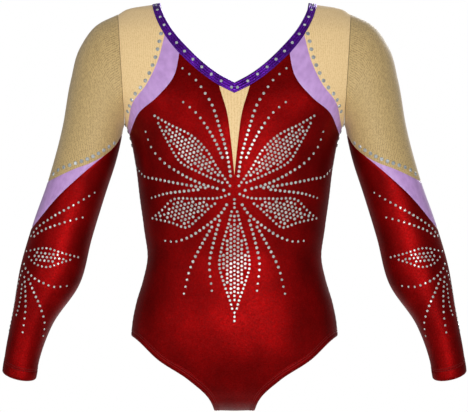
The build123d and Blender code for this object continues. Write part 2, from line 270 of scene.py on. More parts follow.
def eased(at, knots, values):
    """Smooth values through a table's rows, each row's slope taken from its neighbours."""
    knots = np.asarray(knots, float)
    values = np.asarray(values, float)
    slopes = np.gradient(values, knots, axis=0)
    at = np.clip(at, knots[0], knots[-1])
    i = np.clip(np.searchsorted(knots, at, side="right") - 1, 0, len(knots) - 2)
    gap = knots[i + 1] - knots[i]
    u = (at - knots[i]) / gap
    if values.ndim == 2:
        gap, u = gap[..., None], u[..., None]
    return (
        (2 * u**3 - 3 * u**2 + 1) * values[i]
        + (u**3 - 2 * u**2 + u) * gap * slopes[i]
        + (3 * u**2 - 2 * u**3) * values[i + 1]
        + (u**3 - u**2) * gap * slopes[i + 1]
    )


def smoothstep(u):
    """An even rise from 0 to 1 with level ends."""
    u = np.clip(u, 0, 1)
    return u * u * (3 - 2 * u)


ROWS = np.array(TORSO[::-1], float)
LEVELS = np.linspace(BOTTOM, TOP, 2400)
SECTIONS = np.maximum(eased(LEVELS, ROWS[:, 0], ROWS[:, 1:]), 0.02)
SECTIONS[:, 3] = np.maximum(SECTIONS[:, 3], 2.0)
MEAN_DEPTH = (SECTIONS[:, 1] + SECTIONS[:, 2]) / 2
CLIMB = np.concatenate([[0], np.cumsum(np.hypot(np.diff(LEVELS), np.diff(MEAN_DEPTH)))])
QUARTER = 175.0  # width of the body's chart, for a quarter turn
SLEEVE_TURN = 45.0  # width of the sleeve's chart, for one radian


def section(z):
    """Half width, front depth, back depth and squareness of the body at a level."""
    return [np.interp(z, LEVELS, SECTIONS[:, k]) for k in range(4)]


def body_at(turn, z, back):
    """Points and outward normals of the left half, from the share of the quarter turn and the level."""
    half, front, rear, square = section(z)
    depth = rear if back else front
    angle = turn * pi / 2
    x = half * np.sin(angle) ** (2 / square)
    y = depth * np.maximum(np.cos(angle), 0) ** (2 / square)
    y = y if back else -y

    def inside(level):
        h, f, r, n = section(level)
        d = r if back else f
        return (x / h) ** n + (np.abs(y) / d) ** n

    step = 0.4
    slope = (inside(np.minimum(z + step, TOP)) - inside(np.maximum(z - step, BOTTOM))) / (
        np.minimum(z + step, TOP) - np.maximum(z - step, BOTTOM)
    )
    normal = np.stack(
        [
            square * (x / half) ** (square - 1) / half,
            np.sign(y) * square * (np.abs(y) / depth) ** (square - 1) / depth,
            slope,
        ],
        axis=-1,
    )
    normal[..., 2] = np.where(z < FLOOR_OF_BODY, -abs(normal[..., 2]) - 1, normal[..., 2])
    normal /= np.linalg.norm(normal, axis=-1, keepdims=True)
    return np.stack([x, y, z], axis=-1), normal


def turn_of(x, z):
    """The share of the quarter turn at which the body is x wide, seen from the front."""
    half, _, _, square = section(z)
    return np.arcsin(np.clip(x / half, 0, 1) ** (square / 2)) * 2 / pi


def chart_of(turn, z):
    """Places on the body's flat chart, in mm."""
    return np.stack([turn * QUARTER, np.interp(z, LEVELS, CLIMB)], axis=-1)


def distances(points):
    """How far along a row of points each of them is."""
    return np.concatenate([[0], np.cumsum(np.linalg.norm(np.diff(points, axis=0), axis=1))])


def line_points(line, shares):
    """Points of a smooth line at shares of its length."""
    line = np.asarray(line, float)
    knots = distances(line)
    return eased(np.asarray(shares) * knots[-1], knots, line)


def blended(first, second, share):
    """A line between two lines, given by many points."""
    shares = np.linspace(0, 1, 400)
    return (1 - share) * line_points(first, shares) + share * line_points(second, shares)


def shifted(line, move):
    """A line moved across the front view."""
    return [(x + move[0], z + move[1]) for x, z in line]


def on_silhouette(line):
    """The shares of a line where it enters and leaves the body's outline."""
    shares = np.linspace(0, 1, 3000)
    x, z = line_points(line, shares).T
    clear = np.where((z < TOP) & (z > BOTTOM), section(z)[0] - x, -1.0)
    inside = np.flatnonzero(clear > 0)
    ends = []
    for k, near in ((inside[0], inside[0] - 1), (inside[-1], inside[-1] + 1)):
        if 0 <= near < len(shares):
            u = clear[k] / (clear[k] - clear[near])
            ends.append((shares[k] + u * (shares[near] - shares[k]), True))
        else:
            ends.append((shares[k], False))
    return ends


def rail(line, count, shares=None):
    """Turns and levels of points along a line on the body, drawn together where it meets the outline."""
    (start, cut_start), (end, cut_end) = on_silhouette(line)
    u = np.linspace(0, 1, count) if shares is None else np.asarray(shares, float)
    if cut_start and cut_end:
        u = (1 - np.cos(pi * u)) / 2
    elif cut_end:
        u = np.sin(pi * u / 2)
    x, z = line_points(line, start + (end - start) * u).T
    turn = turn_of(x, z)
    if cut_start:
        turn[u == 0] = 1.0
    if cut_end:
        turn[u == 1] = 1.0
    return turn, z


STATIONS = np.array(ARM, float)
CENTRES = (STATIONS[:, 0:2] + STATIONS[:, 2:4]) / 2
ALONG = distances(CENTRES)
ARM_LENGTH = ALONG[-1]
ARM_STEPS = np.linspace(0, ARM_LENGTH, 900)
ARM_ROWS = eased(ARM_STEPS, ALONG, STATIONS)


def arm_rows(w):
    """The arm table's values at distances from the armhole."""
    return [np.interp(w, ARM_STEPS, ARM_ROWS[:, k]) for k in range(7)]


def armhole_x(z):
    """How far out the armhole seam is at a level."""
    (x0, z0), (x1, z1) = ARMHOLE
    return x0 + (z - z0) * (x1 - x0) / (z1 - z0)


ARMHOLE_ENDS = [line_points(ARMHOLE, [share])[0][1] for share, _ in on_silhouette(ARMHOLE)]


def sleeve_position(phi, w):
    """Points of the left sleeve: phi is 0 outside and a quarter turn at the front, w runs to the wrist."""
    ox, oz, ix, iz, depth, offset, tip = arm_rows(w)
    mid = np.stack([(ox + ix) / 2, offset, (oz + iz) / 2], axis=-1)
    half = np.stack([(ox - ix) / 2, np.zeros_like(ox), (oz - iz) / 2], axis=-1)
    across = half / np.linalg.norm(half, axis=-1, keepdims=True)
    down = np.stack([across[..., 2], np.zeros_like(ox), -across[..., 0]], axis=-1)
    tip = np.radians(tip)[..., None]
    front = np.cos(tip) * np.array([0, -1.0, 0]) + np.sin(tip) * down
    points = mid + half * np.cos(phi)[..., None] + front * (depth * np.sin(phi))[..., None]
    near = 1 - smoothstep(w / ARMHOLE_EASE)
    z = (ARMHOLE_ENDS[0] + ARMHOLE_ENDS[1]) / 2 + (ARMHOLE_ENDS[0] - ARMHOLE_ENDS[1]) / 2 * np.cos(phi)
    x = armhole_x(z) + ARMHOLE_GAP
    half_width, front_depth, back_depth, square = section(z)
    level = np.maximum(1 - np.clip((x - ARMHOLE_GAP) / half_width, 0, 1) ** square, 0) ** (1 / square)
    y = np.where(np.sin(phi) >= 0, -front_depth, back_depth) * level
    ring = np.stack([x, y, z], axis=-1)
    ox, oz, ix, iz, depth, offset, _ = [np.full_like(np.asarray(phi, float), v) for v in STATIONS[0]]
    first_x = (ox + ix) / 2 + (ox - ix) / 2 * np.cos(phi)
    first_z = (oz + iz) / 2 + (oz - iz) / 2 * np.cos(phi)
    first = np.stack([first_x, -depth * np.sin(phi), first_z], axis=-1)
    return points + (ring - first) * near[..., None]


def sleeve_at(phi, w):
    """Points and outward normals of the left sleeve."""
    phi = np.asarray(phi, float)
    w = np.asarray(w, float)
    point = sleeve_position(phi, w)
    low, high = np.clip(w - 0.5, 0, ARM_LENGTH), np.clip(w + 0.5, 0, ARM_LENGTH)
    round_step = sleeve_position(phi + 0.01, w) - sleeve_position(phi - 0.01, w)
    long_step = sleeve_position(phi, high) - sleeve_position(phi, low)
    normal = np.cross(long_step, round_step)
    normal /= np.linalg.norm(normal, axis=-1, keepdims=True)
    ox, oz, ix, iz, *_ = arm_rows(w)
    outward = point - np.stack([(ox + ix) / 2, np.zeros_like(ox), (oz + iz) / 2], axis=-1)
    flip = np.sign(np.sum(normal * outward, axis=-1, keepdims=True))
    return point, normal * np.where(flip == 0, 1, flip)


def sleeve_chart_of(points):
    """phi and w of points given in the front view, on the sleeve's front."""
    found = []
    ox, oz, ix, iz, *_ = ARM_ROWS.T
    mx, mz, hx, hz = (ox + ix) / 2, (oz + iz) / 2, (ox - ix) / 2, (oz - iz) / 2
    size = np.hypot(hx, hz)
    for x, z in points:
        lead = (x - mx) * hz / size - (z - mz) * hx / size
        cross = np.flatnonzero((lead[:-1] > 0) & (lead[1:] <= 0))
        if len(cross) == 0:
            found.append((0.0, 0.0 if lead[0] <= 0 else ARM_LENGTH, 9.0))
            continue
        k = cross[0]
        u = lead[k] / (lead[k] - lead[k + 1])
        share = ((x - mx[k]) * hx[k] + (z - mz[k]) * hz[k]) / size[k] ** 2
        w = ARM_STEPS[k] + u * (ARM_STEPS[k + 1] - ARM_STEPS[k])
        found.append((np.arccos(np.clip(share, -1, 1)), w, share))
    return np.array(found)


def sleeve_line(line):
    """A seam line as phi and w, from the outer side to the inner side, cut at the sleeve's outline."""
    chart = sleeve_chart_of(line_points(line, np.linspace(0, 1, 1500)))
    chart = chart[np.abs(chart[:, 2]) <= 1.0][:, :2]
    chart = chart[np.argsort(chart[:, 0])]
    return chart


SLEEVE_MESH_LINE = sleeve_line(MESH_LINE)
SLEEVE_RED_LINE = sleeve_line(RED_LINE)


# Meshes


def mesh_object(name, points, faces, uv, material, sharp=32):
    """An object from points in mm, with a UV map in metres."""
    mesh = bpy.data.meshes.new(name)
    mesh.from_pydata((np.asarray(points) * MM).tolist(), [], [list(map(int, f)) for f in faces])
    layer = mesh.uv_layers.new(name="Cloth")
    corners = np.zeros(len(mesh.loops), dtype=np.int32)
    mesh.loops.foreach_get("vertex_index", corners)
    layer.data.foreach_set("uv", (np.asarray(uv)[corners] * MM).ravel().astype(np.float32))
    mesh.validate()
    mesh.materials.append(material)
    mesh.polygons.foreach_set("use_smooth", [True] * len(mesh.polygons))
    mesh.set_sharp_from_angle(angle=radians(sharp))
    piece = bpy.data.objects.new(name, mesh)
    bpy.context.scene.collection.objects.link(piece)
    return piece


def facing(points, normals, faces):
    """Triangles turned so that they face along the normals."""
    faces = np.asarray(faces)
    a, b, c = points[faces[:, 0]], points[faces[:, 1]], points[faces[:, 2]]
    wrong = np.sum(np.cross(b - a, c - a) * normals[faces].sum(axis=1), axis=1) < 0
    faces[wrong] = faces[wrong][:, ::-1]
    return faces


def layer(name, points, normals, faces, uv, material, top, bottom):
    """A closed cloth layer between two heights over the form."""
    faces = facing(points, normals, faces)
    count = len(points)
    directed = {(int(f[k]), int(f[(k + 1) % 3])) for f in faces for k in range(3)}
    rim = [(b, a, a + count, b + count) for a, b in directed if (b, a) not in directed]
    body = np.concatenate([points + normals * np.reshape(height, (-1, 1)) for height in (top, bottom)])
    every = [tuple(f) for f in faces] + [tuple(f[::-1] + count) for f in faces] + rim
    return mesh_object(name, body, every, np.concatenate([uv, uv]), material)


def picked(faces, wanted):
    """Only the wanted triangles, with their points renumbered."""
    kept = faces[wanted]
    used, to = np.unique(kept, return_inverse=True)
    return used, to.reshape(kept.shape)


def swept(name, rows, uv, material, closed, sharp=32):
    """A solid strip from rows of points round its closed section."""
    count, size = rows.shape[:2]
    faces = []
    for row in range(count if closed else count - 1):
        here, there = row * size, (row + 1) % count * size
        following = [(j + 1) % size for j in range(size)]
        faces += [(here + j, there + j, there + k, here + k) for j, k in enumerate(following)]
    if not closed:
        faces += [tuple(range(size))[::-1], tuple(range((count - 1) * size, count * size))]
    points = rows.reshape(-1, 3)
    volume = 0.0
    for face in faces[: count * size - (0 if closed else size)]:
        a, b, c, d = points[list(face)]
        volume += np.dot(a, np.cross(b, c)) + np.dot(a, np.cross(c, d))
    if volume < 0:
        faces = [face[::-1] for face in faces]
    return mesh_object(name, points, faces, uv.reshape(-1, 2), material, sharp)


def mirrored(points):
    """The wearer's right for the left."""
    return points * np.array([-1.0, 1.0, 1.0])


def inside_outline(points, outline):
    """Which points lie inside a closed outline."""
    outline = np.asarray(outline, float)
    x, y = points[:, 0:1], points[:, 1:2]
    x0, y0 = outline.T
    x1, y1 = np.roll(outline, -1, axis=0).T
    spans = (y0 > y) != (y1 > y)
    with np.errstate(divide="ignore", invalid="ignore"):
        hit = spans & (x < (x1 - x0) * (y - y0) / (y1 - y0) + x0)
    return hit.sum(axis=1) % 2 == 1


def along(points, at):
    """Points at distances along a row of points in a plane."""
    size = distances(points)
    return np.stack([np.interp(at, size, points[:, k]) for k in range(2)], axis=-1)


def even(points, step):
    """A row of points in a plane with its points a step apart."""
    length = distances(points)[-1]
    return along(points, np.linspace(0, length, max(2, int(round(length / step)) + 1)))


BESIDE_GROOVE = (-2.6, -1.2, 1.2, 2.6)  # rows of points beside a seam, in mm, that carry its groove


def meshed(width, height, lines, spacing, grooves):
    """Triangles over a rectangle of chart whose edges follow every line."""
    border = [
        np.array([(0, 0), (width, 0)]),
        np.array([(width, 0), (width, height)]),
        np.array([(width, height), (0, height)]),
        np.array([(0, height), (0, 0)]),
    ]
    points, edges = [], []
    sides = [even(side.astype(float), spacing) for side in border]
    for line in sides + [even(line, spacing * 0.7) for line in lines]:
        edges += [(len(points) + k, len(points) + k + 1) for k in range(len(line) - 1)]
        points += line.tolist()
    for line in grooves:
        line = even(line, spacing * 0.9)
        if len(line) < 3:
            continue
        run = np.gradient(line, axis=0)
        side = np.stack([-run[:, 1], run[:, 0]], axis=-1) / np.maximum(np.hypot(*run.T), 1e-9)[:, None]
        for offset in BESIDE_GROOVE:
            moved = line + side * offset
            clear = np.all((moved > 0.8) & (moved < np.array([width, height]) - 0.8), axis=1)
            points += moved[clear].tolist()
    tree = KDTree(len(points))
    for k, p in enumerate(points):
        tree.insert((p[0], p[1], 0), k)
    tree.balance()
    rise = spacing * 0.866
    for row in range(1, int(height / rise) + 1):
        for column in range(1, int(width / spacing) + 1):
            x, y = (column - 0.5 * (row % 2)) * spacing, row * rise
            if 0 < x < width - 0.3 and y < height - 0.3 and tree.find((x, y, 0))[2] > spacing * 0.55:
                points.append([x, y])
    made = delaunay_2d_cdt([Vector(p) for p in points], edges, [], 0, 0.02)
    flat = np.array([(p.x, p.y) for p in made[0]])
    return flat, np.array([f for f in made[2] if len(f) == 3])


def groove_depth(chart, lines, depth, width=1.3):
    """How far the seams pull the cloth in at each point of the chart."""
    dense = np.concatenate([even(line, 0.6) for line in lines])
    tree = KDTree(len(dense))
    for k, p in enumerate(dense):
        tree.insert((p[0], p[1], 0), k)
    tree.balance()
    near = np.array([tree.find((p[0], p[1], 0))[2] for p in chart])
    return depth * np.exp(-((near / width) ** 2)) - 0.25 * depth * np.exp(-(((near - 3.2) / 1.6) ** 2))


class HalfBody:
    """The wearer's left half of the body's front or back, meshed along every seam."""

    def __init__(self, back, spacing, groove):
        edge, seam = (BACK_NECK_EDGE, BACK_NECK_SEAM) if back else (FRONT_NECK_EDGE, FRONT_NECK_SEAM)
        self.neck = blended(edge, seam, 0.45)
        self.yoke = BACK_YOKE if back else FRONT_YOKE
        self.band = BACK_BAND if back else FRONT_BAND
        self.leg = shifted(LEG, (HEM_SHIFT[0] * 0.5, HEM_SHIFT[1] * 0.5))
        sewn = [self.yoke, self.band] + ([] if back else [INSERT])
        plain = [self.neck, ARMHOLE, self.leg, [(0, GUSSET_TOP), (FAR, GUSSET_TOP)]]
        if not back:
            plain += [[(LINING_EDGE, TOP), (LINING_EDGE, LINING_BOTTOM - 20)]]
            plain += [[(0, LINING_BOTTOM), (FAR, LINING_BOTTOM)]]
        sewn_lines = [self.chart_line(line) for line in sewn]
        side = np.array([(QUARTER, np.interp(z, LEVELS, CLIMB)) for z in (LEG[0][1], ARMHOLE_ENDS[1])])
        chart, faces = meshed(
            QUARTER, CLIMB[-1], sewn_lines + [self.chart_line(line) for line in plain], spacing, sewn_lines
        )
        self.turn = np.clip(chart[:, 0] / QUARTER, 0, 1)
        level = np.interp(chart[:, 1], CLIMB, LEVELS)
        self.points, self.normals = body_at(self.turn, level, back)
        self.points[chart[:, 0] < 1e-4, 0] = 0.0
        self.sink = groove_depth(chart, sewn_lines + [side], groove)
        half, front, rear, _ = section(level)
        arc = pi / 2 * np.sqrt((half**2 + (rear if back else front) ** 2) / 2)
        self.uv = np.stack([self.turn * arc, chart[:, 1]], axis=-1)
        middle = chart[faces].mean(axis=1)
        z = np.interp(middle[:, 1], CLIMB, LEVELS)
        half, _, _, square = section(z)
        x = half * np.sin(middle[:, 0] / QUARTER * pi / 2) ** (2 / square)
        self.faces = faces
        self.middles = np.stack([x, z], axis=-1)
        neck = self.neck.tolist()
        cut = inside_outline(self.middles, neck + [(neck[-1][0], 60), (-5, 60), (-5, neck[0][1])])
        cut |= (x > armhole_x(z)) & (z > LOWEST_ARMHOLE)
        leg = line_points(self.leg, np.linspace(0, 1, 200)).tolist()
        cut |= inside_outline(self.middles, leg + [(FAR, LEG[-1][1])])
        self.kept = ~cut

    def chart_line(self, line):
        turn, z = rail(line, 240)
        return chart_of(turn, z)

    def panel(self, name):
        """The triangles of one panel, by the outline it has in the front view."""
        yoke = line_points(self.yoke, np.linspace(0, 1, 160)).tolist()
        band = line_points(self.band, np.linspace(0, 1, 160)).tolist()
        in_yoke = inside_outline(self.middles, [(yoke[0][0], 40)] + yoke + [(FAR, -200), (FAR, 40)])
        in_band = inside_outline(self.middles, band + yoke[::-1]) & ~in_yoke
        if name == "yoke":
            return self.kept & in_yoke
        if name == "band":
            return self.kept & in_band
        insert = line_points(INSERT, np.linspace(0, 1, 160)).tolist()
        in_insert = inside_outline(self.middles, insert + [(-1, -96), (-1, -229)])
        if name == "insert":
            return self.kept & in_insert
        if name == "front":
            return self.kept & ~(in_yoke | in_band | in_insert)
        if name == "back":
            return self.kept & ~(in_yoke | in_band)
        x, z = self.middles.T
        if name == "lining":
            return self.kept & (x < LINING_EDGE) & (z > LINING_BOTTOM)
        return self.kept & (z < GUSSET_TOP)


def gathered(parts):
    """One set of points, normals, faces, chart and sink from several, welded where they meet."""
    points, normals, faces, uv, sink, base = [], [], [], [], [], 0
    for p, n, f, u, s in parts:
        points.append(p)
        normals.append(n)
        faces.append(f + base)
        uv.append(u)
        sink.append(s)
        base += len(p)
    points, normals, uv, sink = map(np.concatenate, (points, normals, uv, sink))
    faces = np.concatenate(faces)
    key = np.rint((points + 0.0) * 40).astype(np.int64)
    _, first, to = np.unique(key, axis=0, return_index=True, return_inverse=True)
    faces = to.ravel()[faces]
    sound = (faces[:, 0] != faces[:, 1]) & (faces[:, 1] != faces[:, 2]) & (faces[:, 2] != faces[:, 0])
    return points[first], normals[first], faces[sound], uv[first], sink[first]


def half_part(half, name, sign):
    """One panel's share of a half body, mirrored for the wearer's right."""
    used, faces = picked(half.faces, half.panel(name))
    points, normals, uv = half.points[used], half.normals[used], half.uv[used]
    if sign < 0:
        points, normals, uv = mirrored(points), mirrored(normals), uv * np.array([-1.0, 1.0])
    return points, normals, faces, uv, half.sink[used]


def cloth_area(points, faces):
    """Area of triangles."""
    a, b, c = (points[faces[:, k]] for k in range(3))
    return float(np.linalg.norm(np.cross(b - a, c - a), axis=1).sum() / 2)


def finished(piece, body, nodes=()):
    """Rides a piece on its body and hides the solids that it stands for."""
    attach(piece, body)
    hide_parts(*nodes)
    return piece


SHORTEST_FLAT = 0.0101  # m
LEAST_SHARE = 0.32  # of a flat sheet's box that its cloth fills


def declared(piece, points, faces, uv):
    """Works out a panel's flat cut size, its worn size with the wearing stretch taken out, but keeps none of
    it: the panel comes back unchanged.
    """
    stretch = settings()[0].stretch
    width, length = np.maximum((np.ptp(uv, axis=0) * MM) / stretch**0.5, SHORTEST_FLAT)
    area = cloth_area(points, faces) * MM * MM / stretch
    share = area / (width * length)
    if share > 1:
        width *= share
    if share < LEAST_SHARE:
        width *= share / LEAST_SHARE
    width = max(width, SHORTEST_FLAT)
    area = float(min(area, width * length))
    return piece


HALVES = {}


def half_body(back):
    """The half body of the front or the back, made once."""
    if back not in HALVES:
        fabric, _, _ = settings()
        HALVES[back] = HalfBody(back, fabric.spacing / MM, fabric.groove / MM)
    return HALVES[back]


def panel_piece(name, back, part, sides, node, material):
    """One panel of the body, worn by both sides or by one."""
    fabric, _, _ = settings()
    half = half_body(back)
    points, normals, faces, uv, sink = gathered([half_part(half, part, sign) for sign in sides])
    piece = layer(name, points, normals, faces, uv, material, -sink, -sink - fabric.cloth / MM)
    finished(piece, BODY, [node])
    return declared(piece, points, faces, uv)


# Strips along lines on the body


def strip_rows(lines, profile, count, whole):
    """Rows of a strip's section: lines(share) gives its front and back line, profile is (share, height)."""
    fronts, backs = [], []
    for share, height in profile:
        front_line, back_line = lines(share)
        for line, back, rows in ((front_line, False, fronts), (back_line, True, backs)):
            turn, z = rail(line, count)
            points, normals = body_at(turn, z, back)
            if whole:
                points[0, 0] = 0.0
                normals[0, 0] = 0.0
                normals[0] /= np.linalg.norm(normals[0])
            rows.append(points + normals * height)
    front = np.stack(fronts, axis=1)
    back = np.stack(backs, axis=1)
    half = np.concatenate([front, back[-2::-1]])
    if not whole:
        return half[:-1]
    return np.concatenate([half, mirrored(half)[-2:0:-1]])


def strip_uv(rows, profile, width):
    """A strip's cloth map and how long it is."""
    run = distances(rows.mean(axis=1))
    across = np.array([share for share, _ in profile]) * width
    return np.stack(np.meshgrid(run, across, indexing="ij"), axis=-1), run[-1]


def neck_lines(share):
    """Front and back lines of the neck binding, from its edge to its seam."""
    return blended(FRONT_NECK_EDGE, FRONT_NECK_SEAM, share), blended(BACK_NECK_EDGE, BACK_NECK_SEAM, share)


def leg_lines(share):
    """Front and back lines of a leg hem, from the opening inwards."""
    line = shifted(LEG, (HEM_SHIFT[0] * share, HEM_SHIFT[1] * share))
    return line, line


def armhole_lines(share):
    """Front and back lines of the armhole's seam allowance."""
    line = shifted(ARMHOLE, (-SEAM_WIDTH * share, 0))
    return line, line


def strip_piece(name, lines, profile, width, count, material, sign=1, whole=False):
    """A closed strip on the body, either across both halves or on one side, and how long it is."""
    rows = strip_rows(lines, profile, count, whole)
    if sign < 0:
        rows = mirrored(rows)
    uv, run = strip_uv(rows, profile, width)
    return swept(name, rows, uv, material, True, 50), run


# Materials


def add(tree, kind, inputs=None, stops=(), **options):
    """Adds a node with its options and colour stops, and its inputs from values or from nodes' outputs."""
    node = tree.nodes.new(kind)
    for key, value in options.items():
        setattr(node, key, value)
    for k, (place, colour) in enumerate(stops):
        stop = node.color_ramp.elements[k] if k < 2 else node.color_ramp.elements.new(place)
        stop.position = place
        stop.color = colour
    for key, value in (inputs or {}).items():
        if isinstance(value, bpy.types.NodeSocket):
            tree.links.new(value, node.inputs[key])
        else:
            node.inputs[key].default_value = value
    return node


def new_material(name):
    """A new material and its empty tree, or the one of that name and no tree."""
    material = bpy.data.materials.get(name)
    if material:
        return material, None
    material = bpy.data.materials.new(name)
    material.use_nodes = True
    material.node_tree.nodes.clear()
    return material, material.node_tree


def cloth_place(tree, x, y):
    """The cloth's own map, drawn so that one unit is x by y millimetres of fabric."""
    place = add(tree, "ShaderNodeTexCoord").outputs["UV"]
    scale = (1 / (x * MM), 1 / (y * MM), 1.0)
    return add(tree, "ShaderNodeMapping", {"Vector": place, "Scale": scale}).outputs["Vector"]


def foil_lycra(name, colour, shades, rough, metal, speckle, dot):
    """Foil lycra: metallic dots pressed on stretch jersey, for soft bright bands that break into grain."""
    material, tree = new_material(name)
    if tree is None:
        return material
    # The foil dots are 0.5 mm on the real cloth and drawn about 1 mm, so that they show
    dots = add(tree, "ShaderNodeTexVoronoi", {"Vector": cloth_place(tree, dot, dot), "Scale": 1.0})
    glint = add(tree, "ShaderNodeSeparateColor", {"Color": dots.outputs["Color"]})
    mottle = add(
        tree,
        "ShaderNodeTexNoise",
        {"Vector": cloth_place(tree, 30, 45), "Scale": 1.0, "Detail": 2.0, "Roughness": 0.4},
    )
    mixed = add(
        tree,
        "ShaderNodeMath",
        {0: glint.outputs["Red"], 1: speckle, 2: mottle.outputs["Fac"]},
        operation="MULTIPLY_ADD",
    )
    deep, middle, bright = (tuple(part * shade for part in colour) + (1.0,) for shade in shades)
    ramp = add(
        tree,
        "ShaderNodeValToRGB",
        {"Fac": mixed.outputs["Value"]},
        [(0.3, deep), (1.0, bright), (0.62, middle)],
    )
    roughness = add(
        tree,
        "ShaderNodeMapRange",
        {"Value": glint.outputs["Green"], "To Min": rough - 0.06, "To Max": rough + 0.1},
    )
    foil = add(
        tree,
        "ShaderNodeMapRange",
        {"Value": glint.outputs["Blue"], "To Min": metal - 0.1, "To Max": metal + 0.1},
    )
    jersey = cloth_place(tree, 0.9, 1.5)
    knit = add(tree, "ShaderNodeTexNoise", {"Vector": jersey, "Scale": 1.0, "Detail": 2.0})
    heights = {0: dots.outputs["Distance"], 1: knit.outputs["Fac"]}
    grain = add(tree, "ShaderNodeMath", heights, operation="ADD")
    bump = add(
        tree,
        "ShaderNodeBump",
        {"Strength": 0.28, "Distance": 0.00035, "Height": grain.outputs["Value"]},
    )
    shader = add(
        tree,
        "ShaderNodeBsdfPrincipled",
        {
            "Base Color": ramp.outputs["Color"],
            "Metallic": foil.outputs["Result"],
            "Roughness": roughness.outputs["Result"],
            "Normal": bump.outputs["Normal"],
            "Anisotropic": 0.35,
            "Specular IOR Level": 0.15,
        },
    )
    add(tree, "ShaderNodeOutputMaterial", {"Surface": shader.outputs["BSDF"]})
    return material


def satin_lycra(name, base, bright, rough, sheen):
    """Plain dyed stretch jersey: fine lengthwise wales, a soft satin light and a little unevenness."""
    material, tree = new_material(name)
    if tree is None:
        return material
    # Wales are 0.45 mm apart on the cloth and drawn 1 mm apart
    wales = add(
        tree,
        "ShaderNodeTexWave",
        {"Vector": cloth_place(tree, 3.2, 40), "Scale": 1.0, "Distortion": 0.4, "Detail": 1.0},
        bands_direction="X",
    )
    patches = cloth_place(tree, 7, 12)
    mottle = add(tree, "ShaderNodeTexNoise", {"Vector": patches, "Scale": 1.0, "Detail": 5.0})
    mixed = add(
        tree,
        "ShaderNodeMath",
        {0: wales.outputs["Fac"], 1: 0.25, 2: mottle.outputs["Fac"]},
        operation="MULTIPLY_ADD",
    )
    ramp = add(
        tree,
        "ShaderNodeValToRGB",
        {"Fac": mixed.outputs["Value"]},
        [(0.3, base), (0.85, bright)],
    )
    roughness = add(
        tree,
        "ShaderNodeMapRange",
        {"Value": mottle.outputs["Fac"], "To Min": rough - 0.08, "To Max": rough + 0.08},
    )
    bump = add(
        tree, "ShaderNodeBump", {"Strength": 0.2, "Distance": 0.0003, "Height": mixed.outputs["Value"]}
    )
    shader = add(
        tree,
        "ShaderNodeBsdfPrincipled",
        {
            "Base Color": ramp.outputs["Color"],
            "Roughness": roughness.outputs["Result"],
            "Normal": bump.outputs["Normal"],
            "Sheen Weight": sheen,
            "Sheen Roughness": 0.4,
        },
    )
    add(tree, "ShaderNodeOutputMaterial", {"Surface": shader.outputs["BSDF"]})
    return material


def power_mesh(name, hole, thread, gap, clear):
    """Knitted power mesh: a net of tiny holes between warm threads, matt, with faint ribs down the cloth."""
    material, tree = new_material(name)
    if tree is None:
        return material
    # Holes are 0.6 mm apart on the cloth and drawn further apart, so that the grain shows
    holes = add(
        tree,
        "ShaderNodeTexVoronoi",
        {"Vector": cloth_place(tree, gap, gap * 1.4), "Scale": 1.0, "Randomness": 0.55},
    )
    ribs = add(
        tree,
        "ShaderNodeTexWave",
        {
            "Vector": cloth_place(tree, 9.0, 60),
            "Scale": 1.0,
            "Distortion": 1.6,
            "Detail": 2.0,
            "Detail Scale": 2.0,
        },
        bands_direction="X",
    )
    mixed = add(
        tree,
        "ShaderNodeMath",
        {0: ribs.outputs["Fac"], 1: 0.32, 2: holes.outputs["Distance"]},
        operation="MULTIPLY_ADD",
    )
    ramp = add(
        tree,
        "ShaderNodeValToRGB",
        {"Fac": mixed.outputs["Value"]},
        [(0.15, hole), (0.8, thread)],
    )
    bump = add(
        tree,
        "ShaderNodeBump",
        {"Strength": 0.3, "Distance": 0.0003, "Height": mixed.outputs["Value"]},
    )
    inputs = {
        "Base Color": ramp.outputs["Color"],
        "Roughness": 0.62,
        "Normal": bump.outputs["Normal"],
        "Sheen Weight": 0.25,
        "Sheen Roughness": 0.5,
    }
    if clear < 1:
        open_net = add(
            tree, "ShaderNodeMapRange", {"Value": mixed.outputs["Value"], "To Min": clear, "To Max": 1.0}
        )
        inputs["Alpha"] = open_net.outputs["Result"]
    shader = add(tree, "ShaderNodeBsdfPrincipled", inputs)
    add(tree, "ShaderNodeOutputMaterial", {"Surface": shader.outputs["BSDF"]})
    return material


def ribbed_elastic(name, base, rib):
    """Braided elastic tape, and spun thread: fine crosswise ribs on a matt surface."""
    material, tree = new_material(name)
    if tree is None:
        return material
    ribs = add(
        tree,
        "ShaderNodeTexWave",
        {"Vector": cloth_place(tree, 1.6, 8), "Scale": 1.0, "Distortion": 0.2},
        bands_direction="X",
    )
    fuzz = add(tree, "ShaderNodeTexNoise", {"Vector": cloth_place(tree, 0.8, 0.8), "Scale": 1.0})
    mixed = add(
        tree,
        "ShaderNodeMath",
        {0: fuzz.outputs["Fac"], 1: 0.3, 2: ribs.outputs["Fac"]},
        operation="MULTIPLY_ADD",
    )
    ramp = add(tree, "ShaderNodeValToRGB", {"Fac": mixed.outputs["Value"]}, [(0.2, base), (0.9, rib)])
    bump = add(
        tree,
        "ShaderNodeBump",
        {"Strength": 0.5, "Distance": 0.0004, "Height": mixed.outputs["Value"]},
    )
    shader = add(
        tree,
        "ShaderNodeBsdfPrincipled",
        {"Base Color": ramp.outputs["Color"], "Roughness": 0.7, "Normal": bump.outputs["Normal"]},
    )
    add(tree, "ShaderNodeOutputMaterial", {"Surface": shader.outputs["BSDF"]})
    return material


